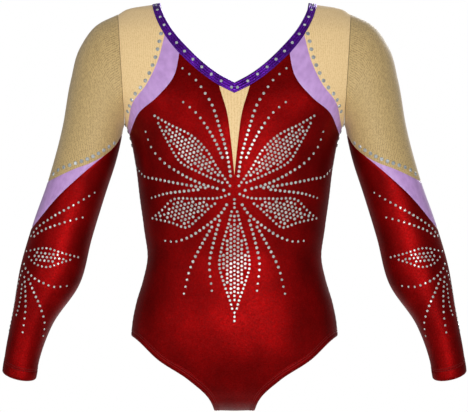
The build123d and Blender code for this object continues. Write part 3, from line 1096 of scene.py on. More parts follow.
def backed_crystal(name, base, flash):
    """Foil-backed cut glass: each stone a slightly different pale grey, glassy and bright in the foil."""
    material, tree = new_material(name)
    if tree is None:
        return material
    place = add(tree, "ShaderNodeTexCoord").outputs["Object"]
    patches = add(tree, "ShaderNodeTexVoronoi", {"Vector": place, "Scale": 420.0})
    shade = add(tree, "ShaderNodeSeparateColor", {"Color": patches.outputs["Color"]})
    cloud = add(tree, "ShaderNodeTexNoise", {"Vector": place, "Scale": 900.0, "Detail": 2.0})
    mixed = add(
        tree,
        "ShaderNodeMath",
        {0: shade.outputs["Red"], 1: 0.6, 2: cloud.outputs["Fac"]},
        operation="MULTIPLY_ADD",
    )
    ramp = add(
        tree,
        "ShaderNodeValToRGB",
        {"Fac": mixed.outputs["Value"]},
        [(0.35, base), (1.0, flash)],
    )
    roughness = add(
        tree, "ShaderNodeMapRange", {"Value": shade.outputs["Green"], "To Min": 0.06, "To Max": 0.22}
    )
    shader = add(
        tree,
        "ShaderNodeBsdfPrincipled",
        {
            "Base Color": ramp.outputs["Color"],
            "Roughness": roughness.outputs["Result"],
            "Metallic": 0.1,
            "IOR": 1.5,
            "Coat Weight": 0.3,
            "Coat Roughness": 0.08,
        },
    )
    add(tree, "ShaderNodeOutputMaterial", {"Surface": shader.outputs["BSDF"]})
    return material


def red_foil():
    """Red hologram foil: a deep red body with broad satin bands of light."""
    return foil_lycra("Red foil lycra", settings()[2].red, (0.72, 1.0, 1.5), 0.47, 0.88, 0.3, 1.2)


def purple_foil():
    """Purple foil: smoother and brighter than the red, so that the folds of the binding catch light."""
    return foil_lycra("Purple foil lycra", settings()[2].purple, (0.42, 1.0, 2.4), 0.32, 0.87, 0.3, 0.9)


def lavender_lycra():
    """Pale lavender jersey: even and softly matt."""
    return satin_lycra("Lavender satin lycra", paint("#A982BE"), paint("#C99FDC"), 0.45, 0.12)


def nude_mesh():
    """Power mesh backed with its lining: warm, even and matt."""
    return power_mesh("Lined nude power mesh", paint("#D9B478"), paint("#EFCF98"), 1.6, 1.0)


def sheer_mesh():
    """A single layer of power mesh with its net just open, painted darker: painted shade of the sleeve's
    inside showing through the net.
    """
    # The darker hole and thread colours are painted shade, standing in for the shaded inside of the sleeve
    # seen through the net.
    return power_mesh("Sheer sleeve power mesh", paint("#8F7442"), paint("#C9AC74"), 1.5, 0.9)


def tricot():
    """Brushed nylon tricot: soft, with a faint bloom."""
    return satin_lycra("Nude tricot lining", paint("#D9BC92"), paint("#F0DCB8"), 0.65, 0.3)


def elastic_tape():
    """White braided elastic."""
    return ribbed_elastic("Braided elastic", paint("#D8D6D0"), paint("#F2F1EC"))


def label_satin():
    """Woven satin ribbon: white with a slight shine."""
    return satin_lycra("Label satin ribbon", paint("#E4E4E6"), paint("#F8F8F8"), 0.35, 0.1)


def overlock_thread():
    """Nude woolly nylon: fuzzy and matt."""
    return ribbed_elastic("Overlock thread", paint("#B8A488"), paint("#E6D8BE"))


def red_thread():
    """Red polyester: one tone brighter than the foil, so that the rows show."""
    return ribbed_elastic("Red polyester thread", paint("#7A1414"), paint("#C23A34"))


def purple_thread():
    """Purple polyester, close to the binding."""
    return ribbed_elastic("Purple polyester thread", paint("#4A1A80"), paint("#8A46B8"))


def pale_crystal():
    """Clear stones on silver foil, seen as pale grey dots."""
    return backed_crystal("Pale foil-backed crystal", paint("#8C9391"), paint("#C4CAC6"))


def grey_crystal():
    """Smoked stones on silver foil, seen as darker grey dots."""
    return backed_crystal("Grey foil-backed crystal", paint("#7C8183"), paint("#AEB4B5"))


# Sleeves


class Sleeves:
    """The left sleeve's front and back, meshed along its seams."""

    WIDTH = SLEEVE_TURN * pi

    def __init__(self, spacing, groove):
        self.mesh_line, self.red_line = SLEEVE_MESH_LINE, SLEEVE_RED_LINE
        scale = np.array([SLEEVE_TURN, 1.0])
        hem = ARM_LENGTH - CUFF * 0.5
        cuff = np.array([(0, hem), (self.WIDTH, hem)])
        mesh_chart, red_chart = self.mesh_line * scale, self.red_line * scale
        mesh_chart[0, 0], red_chart[0, 0], mesh_chart[-1, 0] = 0.0, 0.0, self.WIDTH
        chart, faces = meshed(
            self.WIDTH, ARM_LENGTH, [mesh_chart, red_chart, cuff], spacing, [mesh_chart, red_chart]
        )
        self.phi = np.clip(chart[:, 0] / SLEEVE_TURN, 0, pi)
        self.w = np.clip(chart[:, 1], 0, ARM_LENGTH)
        self.sink = groove_depth(chart, [mesh_chart, red_chart], groove)
        middle = chart[faces].mean(axis=1)
        phi, w = middle[:, 0] / SLEEVE_TURN, middle[:, 1]
        above = w < np.interp(phi, *self.mesh_line.T)
        banded = ~above & (phi < self.red_line[-1, 0]) & (w < np.interp(phi, *self.red_line.T))
        worn = w < hem
        self.faces = faces
        self.parts = {"upper": above, "band": banded, "lower": ~above & ~banded & worn}

    def part(self, name, sign):
        """Points, normals, faces, cloth map and (sink, phi, w) of one panel, all the way round."""
        halves = []
        for turn in (1, -1):
            used, faces = picked(self.faces, self.parts[name])
            phi, w = self.phi[used] * turn, self.w[used]
            points, normals = sleeve_at(phi, w)
            ox, oz, ix, iz, depth, *_ = arm_rows(w)
            radius = np.sqrt((np.hypot(ox - ix, oz - iz) ** 2 / 4 + depth**2) / 2)
            uv = np.stack([phi * radius, w], axis=-1)
            if sign < 0:
                points, normals = mirrored(points), mirrored(normals)
            halves.append((points, normals, faces, uv, np.stack([self.sink[used], phi, w], axis=-1)))
        return gathered(halves)


def sleeve_rows(profile, count, sign):
    """Rows of a band's section round the wrist: profile is (distance from the rim, height)."""
    phi = np.linspace(0, 2 * pi, count, endpoint=False)
    phi = np.where(phi > pi, phi - 2 * pi, phi)
    columns = []
    for distance, height in profile:
        points, normals = sleeve_at(phi, np.full(count, ARM_LENGTH - distance))
        columns.append(points + normals * height)
    rows = np.stack(columns, axis=1)
    return rows if sign > 0 else mirrored(rows)


# Crystals and stitches


def sockets(tree, entries):
    """Adds a tree's named inputs and its output."""
    for name, kind, value in entries:
        socket = tree.interface.new_socket(name=name, in_out="INPUT", socket_type=kind)
        if value is not None:
            socket.default_value = value
    tree.interface.new_socket(name="Geometry", in_out="OUTPUT", socket_type="NodeSocketGeometry")


def crystal_tree():
    """A flat-backed cut stone on every point, facing along the point's outward direction."""
    tree = bpy.data.node_groups.get("Set crystals")
    if tree:
        return tree
    tree = bpy.data.node_groups.new("Set crystals", "GeometryNodeTree")
    sockets(
        tree,
        [
            ("Geometry", "NodeSocketGeometry", None),
            ("Table share", "NodeSocketFloat", 0.7),
            ("Crown share", "NodeSocketFloat", 0.3),
            ("Facets", "NodeSocketInt", 8),
            ("Material", "NodeSocketMaterial", None),
        ],
    )
    given = add(tree, "NodeGroupInput").outputs
    girdle = add(
        tree,
        "GeometryNodeMeshCone",
        {"Vertices": given["Facets"], "Radius Top": 1.0, "Radius Bottom": 0.96, "Depth": 0.16},
        fill_type="NGON",
    )
    crown = add(
        tree,
        "GeometryNodeMeshCone",
        {
            "Vertices": given["Facets"],
            "Radius Top": given["Table share"],
            "Radius Bottom": 1.0,
            "Depth": given["Crown share"],
        },
        fill_type="NGON",
    )
    lifted = add(
        tree, "GeometryNodeTransform", {"Geometry": crown.outputs["Mesh"], "Translation": (0.0, 0.0, 0.15)}
    )
    stone = add(tree, "GeometryNodeJoinGeometry")
    tree.links.new(girdle.outputs["Mesh"], stone.inputs["Geometry"])
    tree.links.new(lifted.outputs["Geometry"], stone.inputs["Geometry"])
    outward = add(tree, "GeometryNodeInputNamedAttribute", {"Name": "outward"}, data_type="FLOAT_VECTOR")
    radius = add(tree, "GeometryNodeInputNamedAttribute", {"Name": "radius"}, data_type="FLOAT")
    turned = add(
        tree, "FunctionNodeAlignRotationToVector", {"Vector": outward.outputs["Attribute"]}, axis="Z"
    )
    placed = add(
        tree,
        "GeometryNodeInstanceOnPoints",
        {
            "Points": given["Geometry"],
            "Instance": stone.outputs["Geometry"],
            "Rotation": turned.outputs["Rotation"],
            "Scale": radius.outputs["Attribute"],
        },
    )
    real = add(tree, "GeometryNodeRealizeInstances", {"Geometry": placed.outputs["Instances"]})
    painted = add(
        tree, "GeometryNodeSetMaterial", {"Geometry": real.outputs["Geometry"], "Material": given["Material"]}
    )
    add(tree, "NodeGroupOutput", {"Geometry": painted.outputs["Geometry"]})
    return tree


def stitch_tree():
    """A row of thread stitches along every line, lying on the cloth."""
    tree = bpy.data.node_groups.get("Sew stitches")
    if tree:
        return tree
    tree = bpy.data.node_groups.new("Sew stitches", "GeometryNodeTree")
    sockets(
        tree,
        [
            ("Geometry", "NodeSocketGeometry", None),
            ("Stitch pitch", "NodeSocketFloat", 0.003),
            ("Stitch length", "NodeSocketFloat", 0.0023),
            ("Thread radius", "NodeSocketFloat", 0.0002),
            ("Material", "NodeSocketMaterial", None),
        ],
    )
    given = add(tree, "NodeGroupInput").outputs
    curve = add(tree, "GeometryNodeMeshToCurve", {"Mesh": given["Geometry"]})
    spaced = add(
        tree,
        "GeometryNodeResampleCurve",
        {"Curve": curve.outputs["Curve"], "Length": given["Stitch pitch"]},
        mode="LENGTH",
    )
    thread = add(
        tree,
        "GeometryNodeMeshCylinder",
        {"Vertices": 6, "Radius": given["Thread radius"], "Depth": given["Stitch length"]},
        fill_type="NGON",
    )
    laid = add(
        tree,
        "GeometryNodeTransform",
        {"Geometry": thread.outputs["Mesh"], "Rotation": (0.0, pi / 2, 0.0)},
    )
    tangent = add(tree, "GeometryNodeInputTangent")
    outward = add(tree, "GeometryNodeInputNamedAttribute", {"Name": "outward"}, data_type="FLOAT_VECTOR")
    aimed = add(tree, "FunctionNodeAlignRotationToVector", {"Vector": tangent.outputs["Tangent"]}, axis="X")
    turned = add(
        tree,
        "FunctionNodeAlignRotationToVector",
        {"Rotation": aimed.outputs["Rotation"], "Vector": outward.outputs["Attribute"]},
        axis="Z",
        pivot_axis="X",
    )
    placed = add(
        tree,
        "GeometryNodeInstanceOnPoints",
        {
            "Points": spaced.outputs["Curve"],
            "Instance": laid.outputs["Geometry"],
            "Rotation": turned.outputs["Rotation"],
        },
    )
    real = add(tree, "GeometryNodeRealizeInstances", {"Geometry": placed.outputs["Instances"]})
    painted = add(
        tree, "GeometryNodeSetMaterial", {"Geometry": real.outputs["Geometry"], "Material": given["Material"]}
    )
    add(tree, "NodeGroupOutput", {"Geometry": painted.outputs["Geometry"]})
    return tree


def grown(name, tree, points, edges, normals, radii, inputs, material):
    """Runs a node tree on points in mm and keeps the result as a plain mesh."""
    mesh = bpy.data.meshes.new(name + "_points")
    mesh.from_pydata((points * MM).tolist(), edges, [])
    outward = mesh.attributes.new("outward", "FLOAT_VECTOR", "POINT")
    outward.data.foreach_set("vector", normals.ravel().astype(np.float32))
    radius = mesh.attributes.new("radius", "FLOAT", "POINT")
    radius.data.foreach_set("value", (radii * MM).astype(np.float32))
    source = bpy.data.objects.new(name + "_source", mesh)
    bpy.context.scene.collection.objects.link(source)
    modifier = source.modifiers.new("Grow", "NODES")
    modifier.node_group = tree
    for item in tree.interface.items_tree:
        if item.in_out == "INPUT" and item.name in inputs:
            modifier[item.identifier] = inputs[item.name]
        if item.in_out == "INPUT" and item.name == "Material":
            modifier[item.identifier] = material
    depsgraph = bpy.context.evaluated_depsgraph_get()
    made = bpy.data.meshes.new_from_object(source.evaluated_get(depsgraph), depsgraph=depsgraph)
    made.name = name
    source.modifiers.remove(modifier)
    bpy.data.objects.remove(source)
    for kept in ("outward", "radius"):
        if made.attributes.get(kept):
            made.attributes.remove(made.attributes[kept])
    if not made.materials:
        made.materials.append(material)
    made.polygons.foreach_set("use_smooth", [False] * len(made.polygons))
    piece = bpy.data.objects.new(name, made)
    bpy.context.scene.collection.objects.link(piece)
    return piece


def crystals(name, sets, material):
    """Stones from sets of (points, normals, radii), in mm."""
    points, normals, radii = (np.concatenate([s[k] for s in sets]) for k in range(3))
    return grown(name, crystal_tree(), points, [], normals, radii, {}, material)


def on_body(points, back, lift):
    """Places and outward normals on the body of points in the front view."""
    points = np.asarray(points, float)
    found, normals = body_at(turn_of(np.abs(points[:, 0]), points[:, 1]), points[:, 1], back)
    sign = np.ones((len(points), 3))
    sign[points[:, 0] < 0, 0] = -1.0
    return (found + normals * lift) * sign, normals * sign


def on_sleeve(points, side, lift):
    """The same on the left sleeve's front (1) or back (-1)."""
    chart = sleeve_chart_of(points)
    found, normals = sleeve_at(chart[:, 0] * side, chart[:, 1])
    return found + normals * lift, normals


def both_ways(found):
    """Stones on the wearer's left with the same ones on the right."""
    points, normals, radii = found
    return [found, (mirrored(points), mirrored(normals), radii)]


def spaced(line, gap):
    """Points of a smooth line a gap apart."""
    return even(line_points(line, np.linspace(0, 1, 300)), gap)


def widening(line, gap):
    """Points of a line from its outer end, a wide gap apart at first and a ray's gap past the middle."""
    fine = line_points(line, np.linspace(0, 1, 300))
    length = distances(fine)[-1]
    at = [0.0]
    while at[-1] < length:
        at.append(at[-1] + RAY_GAP + (gap - RAY_GAP) * float(1 - smoothstep(1.6 * at[-1] / length)))
    return along(fine, np.array(at[:-1]))


def flower(rays, petals, big, small):
    """A flower of stones in the front view: outlined petals filled in rows, and single-row rays."""
    stones = []

    def place(candidates, radius, room):
        """Adds the stones that have room."""
        for x, z in candidates:
            if all(np.hypot(x - a, z - b) > room for a, b, _ in stones):
                stones.append((x, z, radius))

    for ray, gap in rays:
        row = widening(ray, gap)
        for k, spot in enumerate(row):
            place([spot], small + (big - small) * min(1, k / 5), RAY_ROOM)
    for first, second in petals:
        place(spaced(first, EDGE_GAP), big * 0.88, EDGE_ROOM)
        place(spaced(second, EDGE_GAP), big * 0.88, EDGE_ROOM)
        out = line_points(first, np.linspace(0, 1, 60))
        home = line_points(second, np.linspace(1, 0, 60))
        axis = np.subtract(first[-1], first[0])
        axis = axis / np.hypot(*axis)
        across = np.array([-axis[1], axis[0]])
        rows = range(-12, 13)
        grid = [(FILL_GAP * (k + 0.5 * (row % 2)), FILL_ROW * row) for row in rows for k in range(40)]
        spots = np.array([np.array(first[0]) + axis * u + across * v for u, v in grid])
        spots = spots[inside_outline(spots, np.concatenate([out, home]))]
        for k, spot in enumerate(spots):
            place([spot], (big, small * 1.15)[k % 2], FILL_ROOM)
    return np.array(stones)


# Operators


class LEOTARD_OT_body_panels(bpy.types.Operator):
    """Cuts and sews the front, back, insert, band and yoke panels of the body."""

    bl_idname = "leotard.body_panels"
    bl_label = "Body panels"

    def execute(self, context):
        both = (1, -1)
        panel_piece("front_cloth", False, "front", both, "front_panel", red_foil())
        panel_piece("back_cloth", True, "back", both, "back_panel", red_foil())
        panel_piece("insert_cloth", False, "insert", both, "front_insert", nude_mesh())
        for side, sign in SIDES.items():
            for back, face in ((False, "front"), (True, "back")):
                panel_piece(
                    f"{face}_band_cloth_{side}",
                    back,
                    "band",
                    (sign,),
                    f"{face}_band_{side}",
                    lavender_lycra(),
                )
                panel_piece(
                    f"{face}_yoke_cloth_{side}",
                    back,
                    "yoke",
                    (sign,),
                    f"{face}_yoke_{side}",
                    nude_mesh(),
                )
        return {"FINISHED"}


class LEOTARD_OT_linings(bpy.types.Operator):
    """Adds the front lining and the lining between the legs."""

    bl_idname = "leotard.linings"
    bl_label = "Linings"

    def execute(self, context):
        fabric, _, _ = settings()
        for name, part, node, backs in (
            ("front_lining_cloth", "lining", "front_lining", (False,)),
            ("gusset_lining_cloth", "gusset", "gusset_lining", (False, True)),
        ):
            parts = [half_part(half_body(back), part, sign) for back in backs for sign in (1, -1)]
            points, normals, faces, uv, sink = gathered(parts)
            top = -sink - fabric.cloth / MM - 0.3
            piece = layer(name, points, normals, faces, uv, tricot(), top, top - fabric.lining / MM)
            finished(piece, BODY, [node])
            declared(piece, points, faces, uv)
        return {"FINISHED"}


# Sections of the folded strips: share of the width, or distance from the rim at the cuff, and height in mm
NECK_PROFILE = [
    (0.0, -0.7), (0.0, 0.2), (0.03, 0.7), (0.1, 0.95), (0.2, 1.0), (0.24, 0.66), (0.28, 0.98), (0.46, 1.05),
    (0.5, 0.68), (0.54, 1.02), (0.72, 1.0), (0.76, 0.66), (0.8, 0.96), (0.9, 0.82), (0.97, 0.45), (1.0, -0.1),
    (1.0, -1.3), (0.5, -1.7), (0.06, -1.5),
]
HEM_PROFILE = [
    (0.0, -1.0), (0.0, -0.2), (0.06, 0.4), (0.25, 0.62), (0.46, 0.5), (0.55, -0.1), (0.64, 0.45),
    (0.73, 0.42), (0.81, -0.1), (0.88, 0.3), (0.96, 0.12), (1.0, -0.4), (1.0, -1.6), (0.5, -1.95),
    (0.06, -1.9),
]
CUFF_PROFILE = [
    (0.0, -1.0), (0.0, -0.1), (0.6, 0.4), (4.0, 0.55), (9.0, 0.55), (11.5, 0.45), (12.6, -0.1), (13.5, 0.4),
    (14.3, 0.38), (15.2, -0.1), (16.0, 0.3), (17.0, -0.1), (17.0, -1.6), (8.0, -2.0), (0.8, -1.9),
]


class LEOTARD_OT_neck(bpy.types.Operator):
    """Adds the folded foil binding round the neck and the elastic in it."""

    bl_idname = "leotard.neck"
    bl_label = "Neck binding"

    def execute(self, context):
        name = "neck_binding_cloth"
        piece, run = strip_piece(name, neck_lines, NECK_PROFILE, NECK_WIDTH, 150, purple_foil(), whole=True)
        finished(piece, BODY, ["neck_binding"])
        tape = [(0.25, -1.9), (0.75, -1.9), (0.75, -2.35), (0.25, -2.35)]
        name = "neck_elastic_tape"
        piece, _ = strip_piece(name, neck_lines, tape, NECK_WIDTH, 110, elastic_tape(), whole=True)
        finished(piece, BODY, ["neck_elastic"])
        return {"FINISHED"}


class LEOTARD_OT_legs(bpy.types.Operator):
    """Adds the turned leg hems and the elastic in them."""

    bl_idname = "leotard.legs"
    bl_label = "Leg hems"

    def execute(self, context):
        tape = [(0.33, -2.1), (0.77, -2.1), (0.77, -2.55), (0.33, -2.55)]
        for side, sign in SIDES.items():
            name = f"leg_hem_cloth_{side}"
            piece, run = strip_piece(name, leg_lines, HEM_PROFILE, HEM_WIDTH, 130, red_foil(), sign)
            finished(piece, BODY, [f"leg_hem_{side}"])
            name = f"leg_elastic_tape_{side}"
            piece, _ = strip_piece(name, leg_lines, tape, HEM_WIDTH, 100, elastic_tape(), sign)
            finished(piece, BODY, [f"leg_elastic_{side}"])
        return {"FINISHED"}


ALLOWANCE = [(-2.5, -1.6), (2.5, -1.6), (2.5, -2.3), (0, -2.5), (-2.5, -2.3)]


def seam_strip(name, places, normals, sign, node):
    """An overlocked seam allowance on the inside: a flat strip, thickest along its seam."""
    across = np.array([0.0, 1.0, 0.0])
    rows = np.stack([places + across * a + normals * b for a, b in ALLOWANCE], axis=1)
    if sign < 0:
        rows = mirrored(rows)
    run = np.linspace(0, distances(places)[-1], len(places))
    uv = np.stack(np.meshgrid(run, [a for a, _ in ALLOWANCE], indexing="ij"), axis=-1)
    finished(swept(name, rows, uv, overlock_thread(), False), BODY, [node])


class LEOTARD_OT_seams(bpy.types.Operator):
    """Adds the overlocked seam allowances inside the sides, shoulders and armholes."""

    bl_idname = "leotard.seams"
    bl_label = "Overlocked seams"

    def execute(self, context):
        level = np.linspace(-425, -178, 150)
        sides = body_at(np.ones(len(level)), level, False)
        width = np.linspace(115, 146, 24)
        rising = LEVELS > -40
        top = np.interp(width, SECTIONS[rising, 0][::-1], LEVELS[rising][::-1])
        shoulders = body_at(np.ones(len(top)), top, False)
        round_profile = [(0.05, -1.5), (1.0, -1.5), (1.0, -2.2), (0.05, -2.2)]
        for side, sign in SIDES.items():
            seam_strip(f"side_seam_thread_{side}", *sides, sign, f"side_seam_{side}")
            seam_strip(f"shoulder_seam_thread_{side}", *shoulders, sign, f"shoulder_seam_{side}")
            name = f"armhole_seam_thread_{side}"
            piece, _ = strip_piece(name, armhole_lines, round_profile, SEAM_WIDTH, 80, overlock_thread(), sign)
            finished(piece, BODY, [f"armhole_seam_{side}"])
        return {"FINISHED"}


class LEOTARD_OT_labels(bpy.types.Operator):
    """Adds the two blank satin labels inside the back."""

    bl_idname = "leotard.labels"
    bl_label = "Labels"

    def execute(self, context):
        for name, node, (x0, z0, x1, z1) in (
            ("size_label_satin", "size_label", (-13, -195, 13, -177)),
            ("care_label_satin", "care_label", (104, -350, 113, -318)),
        ):
            columns, rows = 13, 11
            grid = np.stack(np.meshgrid(np.linspace(x0, x1, columns), np.linspace(z0, z1, rows)), axis=-1)
            points, normals = on_body(grid.reshape(-1, 2), True, 0)
            faces = []
            for row in range(rows - 1):
                for k in range(row * columns, row * columns + columns - 1):
                    faces += [(k, k + 1, k + columns), (k + 1, k + columns + 1, k + columns)]
            curl = 0.35 * np.abs(np.repeat(np.linspace(-1, 1, rows), columns)) ** 3
            uv = grid.reshape(-1, 2)
            piece = layer(name, points, normals, np.array(faces), uv, label_satin(), -1.5 - curl, -1.8 - curl)
            finished(piece, BODY, [node])
        return {"FINISHED"}


class LEOTARD_OT_sleeves(bpy.types.Operator):
    """Cuts and sews the two sleeves: the sheer upper sleeve, the band, the lower sleeve and the cuff."""

    bl_idname = "leotard.sleeves"
    bl_label = "Sleeves"

    def execute(self, context):
        fabric, _, _ = settings()
        cloth = fabric.cloth / MM
        made = Sleeves(fabric.spacing / MM, fabric.groove / MM)
        for side, sign in SIDES.items():
            body = f"sleeve_{side}"
            for part, name, node, slot, material in (
                ("upper", "upper_sleeve_cloth", "upper_sleeve", "sleeve_mesh", sheer_mesh()),
                ("band", "sleeve_band_cloth", "sleeve_band", "lavender", lavender_lycra()),
                ("lower", "lower_sleeve_cloth", "lower_sleeve", "red_foil", red_foil()),
            ):
                points, normals, faces, uv, extra = made.part(part, sign)
                sink = extra[:, 0]
                piece = layer(f"{name}_{side}", points, normals, faces, uv, material, -sink, -sink - cloth)
                if part == "upper":
                    self.join(piece, body, sign, extra)
                    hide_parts(f"{node}_{side}")
                else:
                    finished(piece, body, [f"{node}_{side}"])
                declared(piece, points, faces, uv)
            rows = sleeve_rows(CUFF_PROFILE, 90, sign)
            uv, run = strip_uv(rows, CUFF_PROFILE, 1)
            piece = swept(f"cuff_hem_cloth_{side}", rows, uv, red_foil(), True, 50)
            finished(piece, body, [f"cuff_hem_{side}"])
            tape = [(5, -2.15), (12, -2.15), (12, -2.6), (5, -2.6)]
            rows = sleeve_rows(tape, 72, sign)
            uv, _ = strip_uv(rows, tape, 1)
            piece = swept(f"cuff_elastic_tape_{side}", rows, uv, elastic_tape(), True)
            finished(piece, body, [f"cuff_elastic_{side}"])
        return {"FINISHED"}

    def join(self, piece, body, sign, extra):
        """Bakes the upper sleeve's placement into its mesh."""
        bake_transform(piece)


class LEOTARD_OT_edge_crystals(bpy.types.Operator):
    """Sets the single rows of crystals round the neck, the yokes and the sleeve seams."""

    bl_idname = "leotard.edge_crystals"
    bl_label = "Edge crystals"

    def execute(self, context):
        _, stones, _ = settings()
        small, large = stones.small / MM, stones.large / MM

        def set_on_body(given, back, radius, lift):
            """Stones an equal distance apart over the body."""
            line, count = given
            fine, _ = on_body(line_points(line, np.linspace(0, 1, 400)), back, lift)
            size = distances(fine)
            shares = np.interp(np.linspace(0, size[-1], count), size, np.linspace(0, 1, 400))
            points, normals = on_body(line_points(line, shares), back, lift)
            return points, normals, np.full(count, radius)

        neck = both_ways(set_on_body(FRONT_NECK_STONES, False, small, 0.75))
        neck += both_ways(set_on_body(BACK_NECK_STONES, True, small, 0.75))
        finished(crystals("neck_stones", neck, pale_crystal()), BODY, ["neck_crystals"])
        under_arm = body_at(np.full(5, 0.985), np.linspace(-154, -190, 5), False)
        yoke = [
            both_ways(set_on_body(FRONT_YOKE_STONES, False, large, -0.25)),
            both_ways(set_on_body(BACK_YOKE_STONES, True, large, -0.25)),
            both_ways(under_arm + (np.full(5, large * 0.9),)),
        ]
        line, count = SLEEVE_STONES
        places = line_points(line, np.linspace(0, 1, count))
        arm = [both_ways(on_sleeve(places, side, -0.25) + (np.full(count, large),)) for side in (1, -1)]
        for k, side in enumerate(SIDES):
            piece = crystals(f"yoke_stones_{side}", [found[k] for found in yoke], grey_crystal())
            finished(piece, BODY, [f"yoke_crystals_{side}"])
            piece = crystals(f"sleeve_stones_{side}", [found[k] for found in arm], grey_crystal())
            finished(piece, f"sleeve_{side}", [f"sleeve_crystals_{side}"])
        return {"FINISHED"}


class LEOTARD_OT_motif_crystals(bpy.types.Operator):
    """Sets the crystal flowers on the front and on both sleeves."""

    bl_idname = "leotard.motif_crystals"
    bl_label = "Motif crystals"

    def execute(self, context):
        _, stones, _ = settings()
        big, small = stones.small / MM, stones.small / MM * 0.74
        front = self.centred(flower(FRONT_RAYS, FRONT_PETALS, big, small))
        points, normals = on_body(front[:, :2], False, -0.15)
        off = front[:, 0] > 0
        sets = [(points, normals, front[:, 2])]
        sets += [(mirrored(points[off]), mirrored(normals[off]), front[off, 2])]
        finished(crystals("front_motif_stones", sets, pale_crystal()), BODY)
        arm = flower(SLEEVE_RAYS, SLEEVE_PETALS, big * 0.84, small * 0.9)
        found = [on_sleeve(arm[:, :2], side, -0.15) + (arm[:, 2],) for side in (1, -1)]
        for k, side in enumerate(SIDES):
            piece = crystals(f"sleeve_motif_stones_{side}", [both_ways(f)[k] for f in found], pale_crystal())
            finished(piece, f"sleeve_{side}")
        return {"FINISHED"}

    def centred(self, stones):
        """Stones too near their mirror image go on the centre line, without those that would then overlap."""
        kept = []
        for x, z, radius in stones:
            x = 0.0 if x < 2.5 else x
            if x > 0 or all(abs(z - level) > 4.2 for across, level, _ in kept if across == 0):
                kept.append((x, z, radius))
        return np.array(kept)


class LEOTARD_OT_stitches(bpy.types.Operator):
    """Topstitches the neck binding, the leg hems and the cuffs."""

    bl_idname = "leotard.stitches"
    bl_label = "Stitches"

    def execute(self, context):
        neck = self.ring(strip_rows(neck_lines, [(0.93, 0.72)], 120, True)[:, 0])
        self.sew("neck_stitches", [neck], BODY, purple_thread())
        legs = []
        for share in (0.55, 0.81):
            row = strip_rows(leg_lines, [(share, 0.0)], 110, False)[:, 0]
            legs += [self.ring(row), self.ring(mirrored(row))]
        self.sew("body_stitches", legs, BODY, red_thread())
        for side, sign in SIDES.items():
            rows = [self.ring(sleeve_rows([(inset, 0.0)], 120, sign)[:, 0]) for inset in (12.6, 15.2)]
            self.sew(f"cuff_stitches_{side}", rows, f"sleeve_{side}", red_thread())
        return {"FINISHED"}

    def ring(self, points):
        """A closed row of points with the directions that face away from the cloth's inside."""
        run = np.roll(points, -1, axis=0) - np.roll(points, 1, axis=0)
        middle = points.mean(axis=0)
        out = points - middle
        out -= run * (np.sum(out * run, axis=1) / np.maximum(np.sum(run * run, axis=1), 1e-9))[:, None]
        return points, out / np.linalg.norm(out, axis=1, keepdims=True)

    def sew(self, name, rows, body, thread):
        """Stitches along closed rows of points."""
        sizes = settings()[1]
        points, normals, edges, base = [], [], [], 0
        for row, out in rows:
            count = len(row)
            points.append(row)
            normals.append(out)
            edges += [(base + k, base + (k + 1) % count) for k in range(count)]
            base += count
        points, normals = np.concatenate(points), np.concatenate(normals)
        inputs = {
            "Stitch pitch": sizes.pitch,
            "Stitch length": sizes.pitch * 0.78,
            "Thread radius": sizes.thread,
        }
        piece = grown(name, stitch_tree(), points, edges, normals, np.ones(len(points)), inputs, thread)
        finished(piece, body)


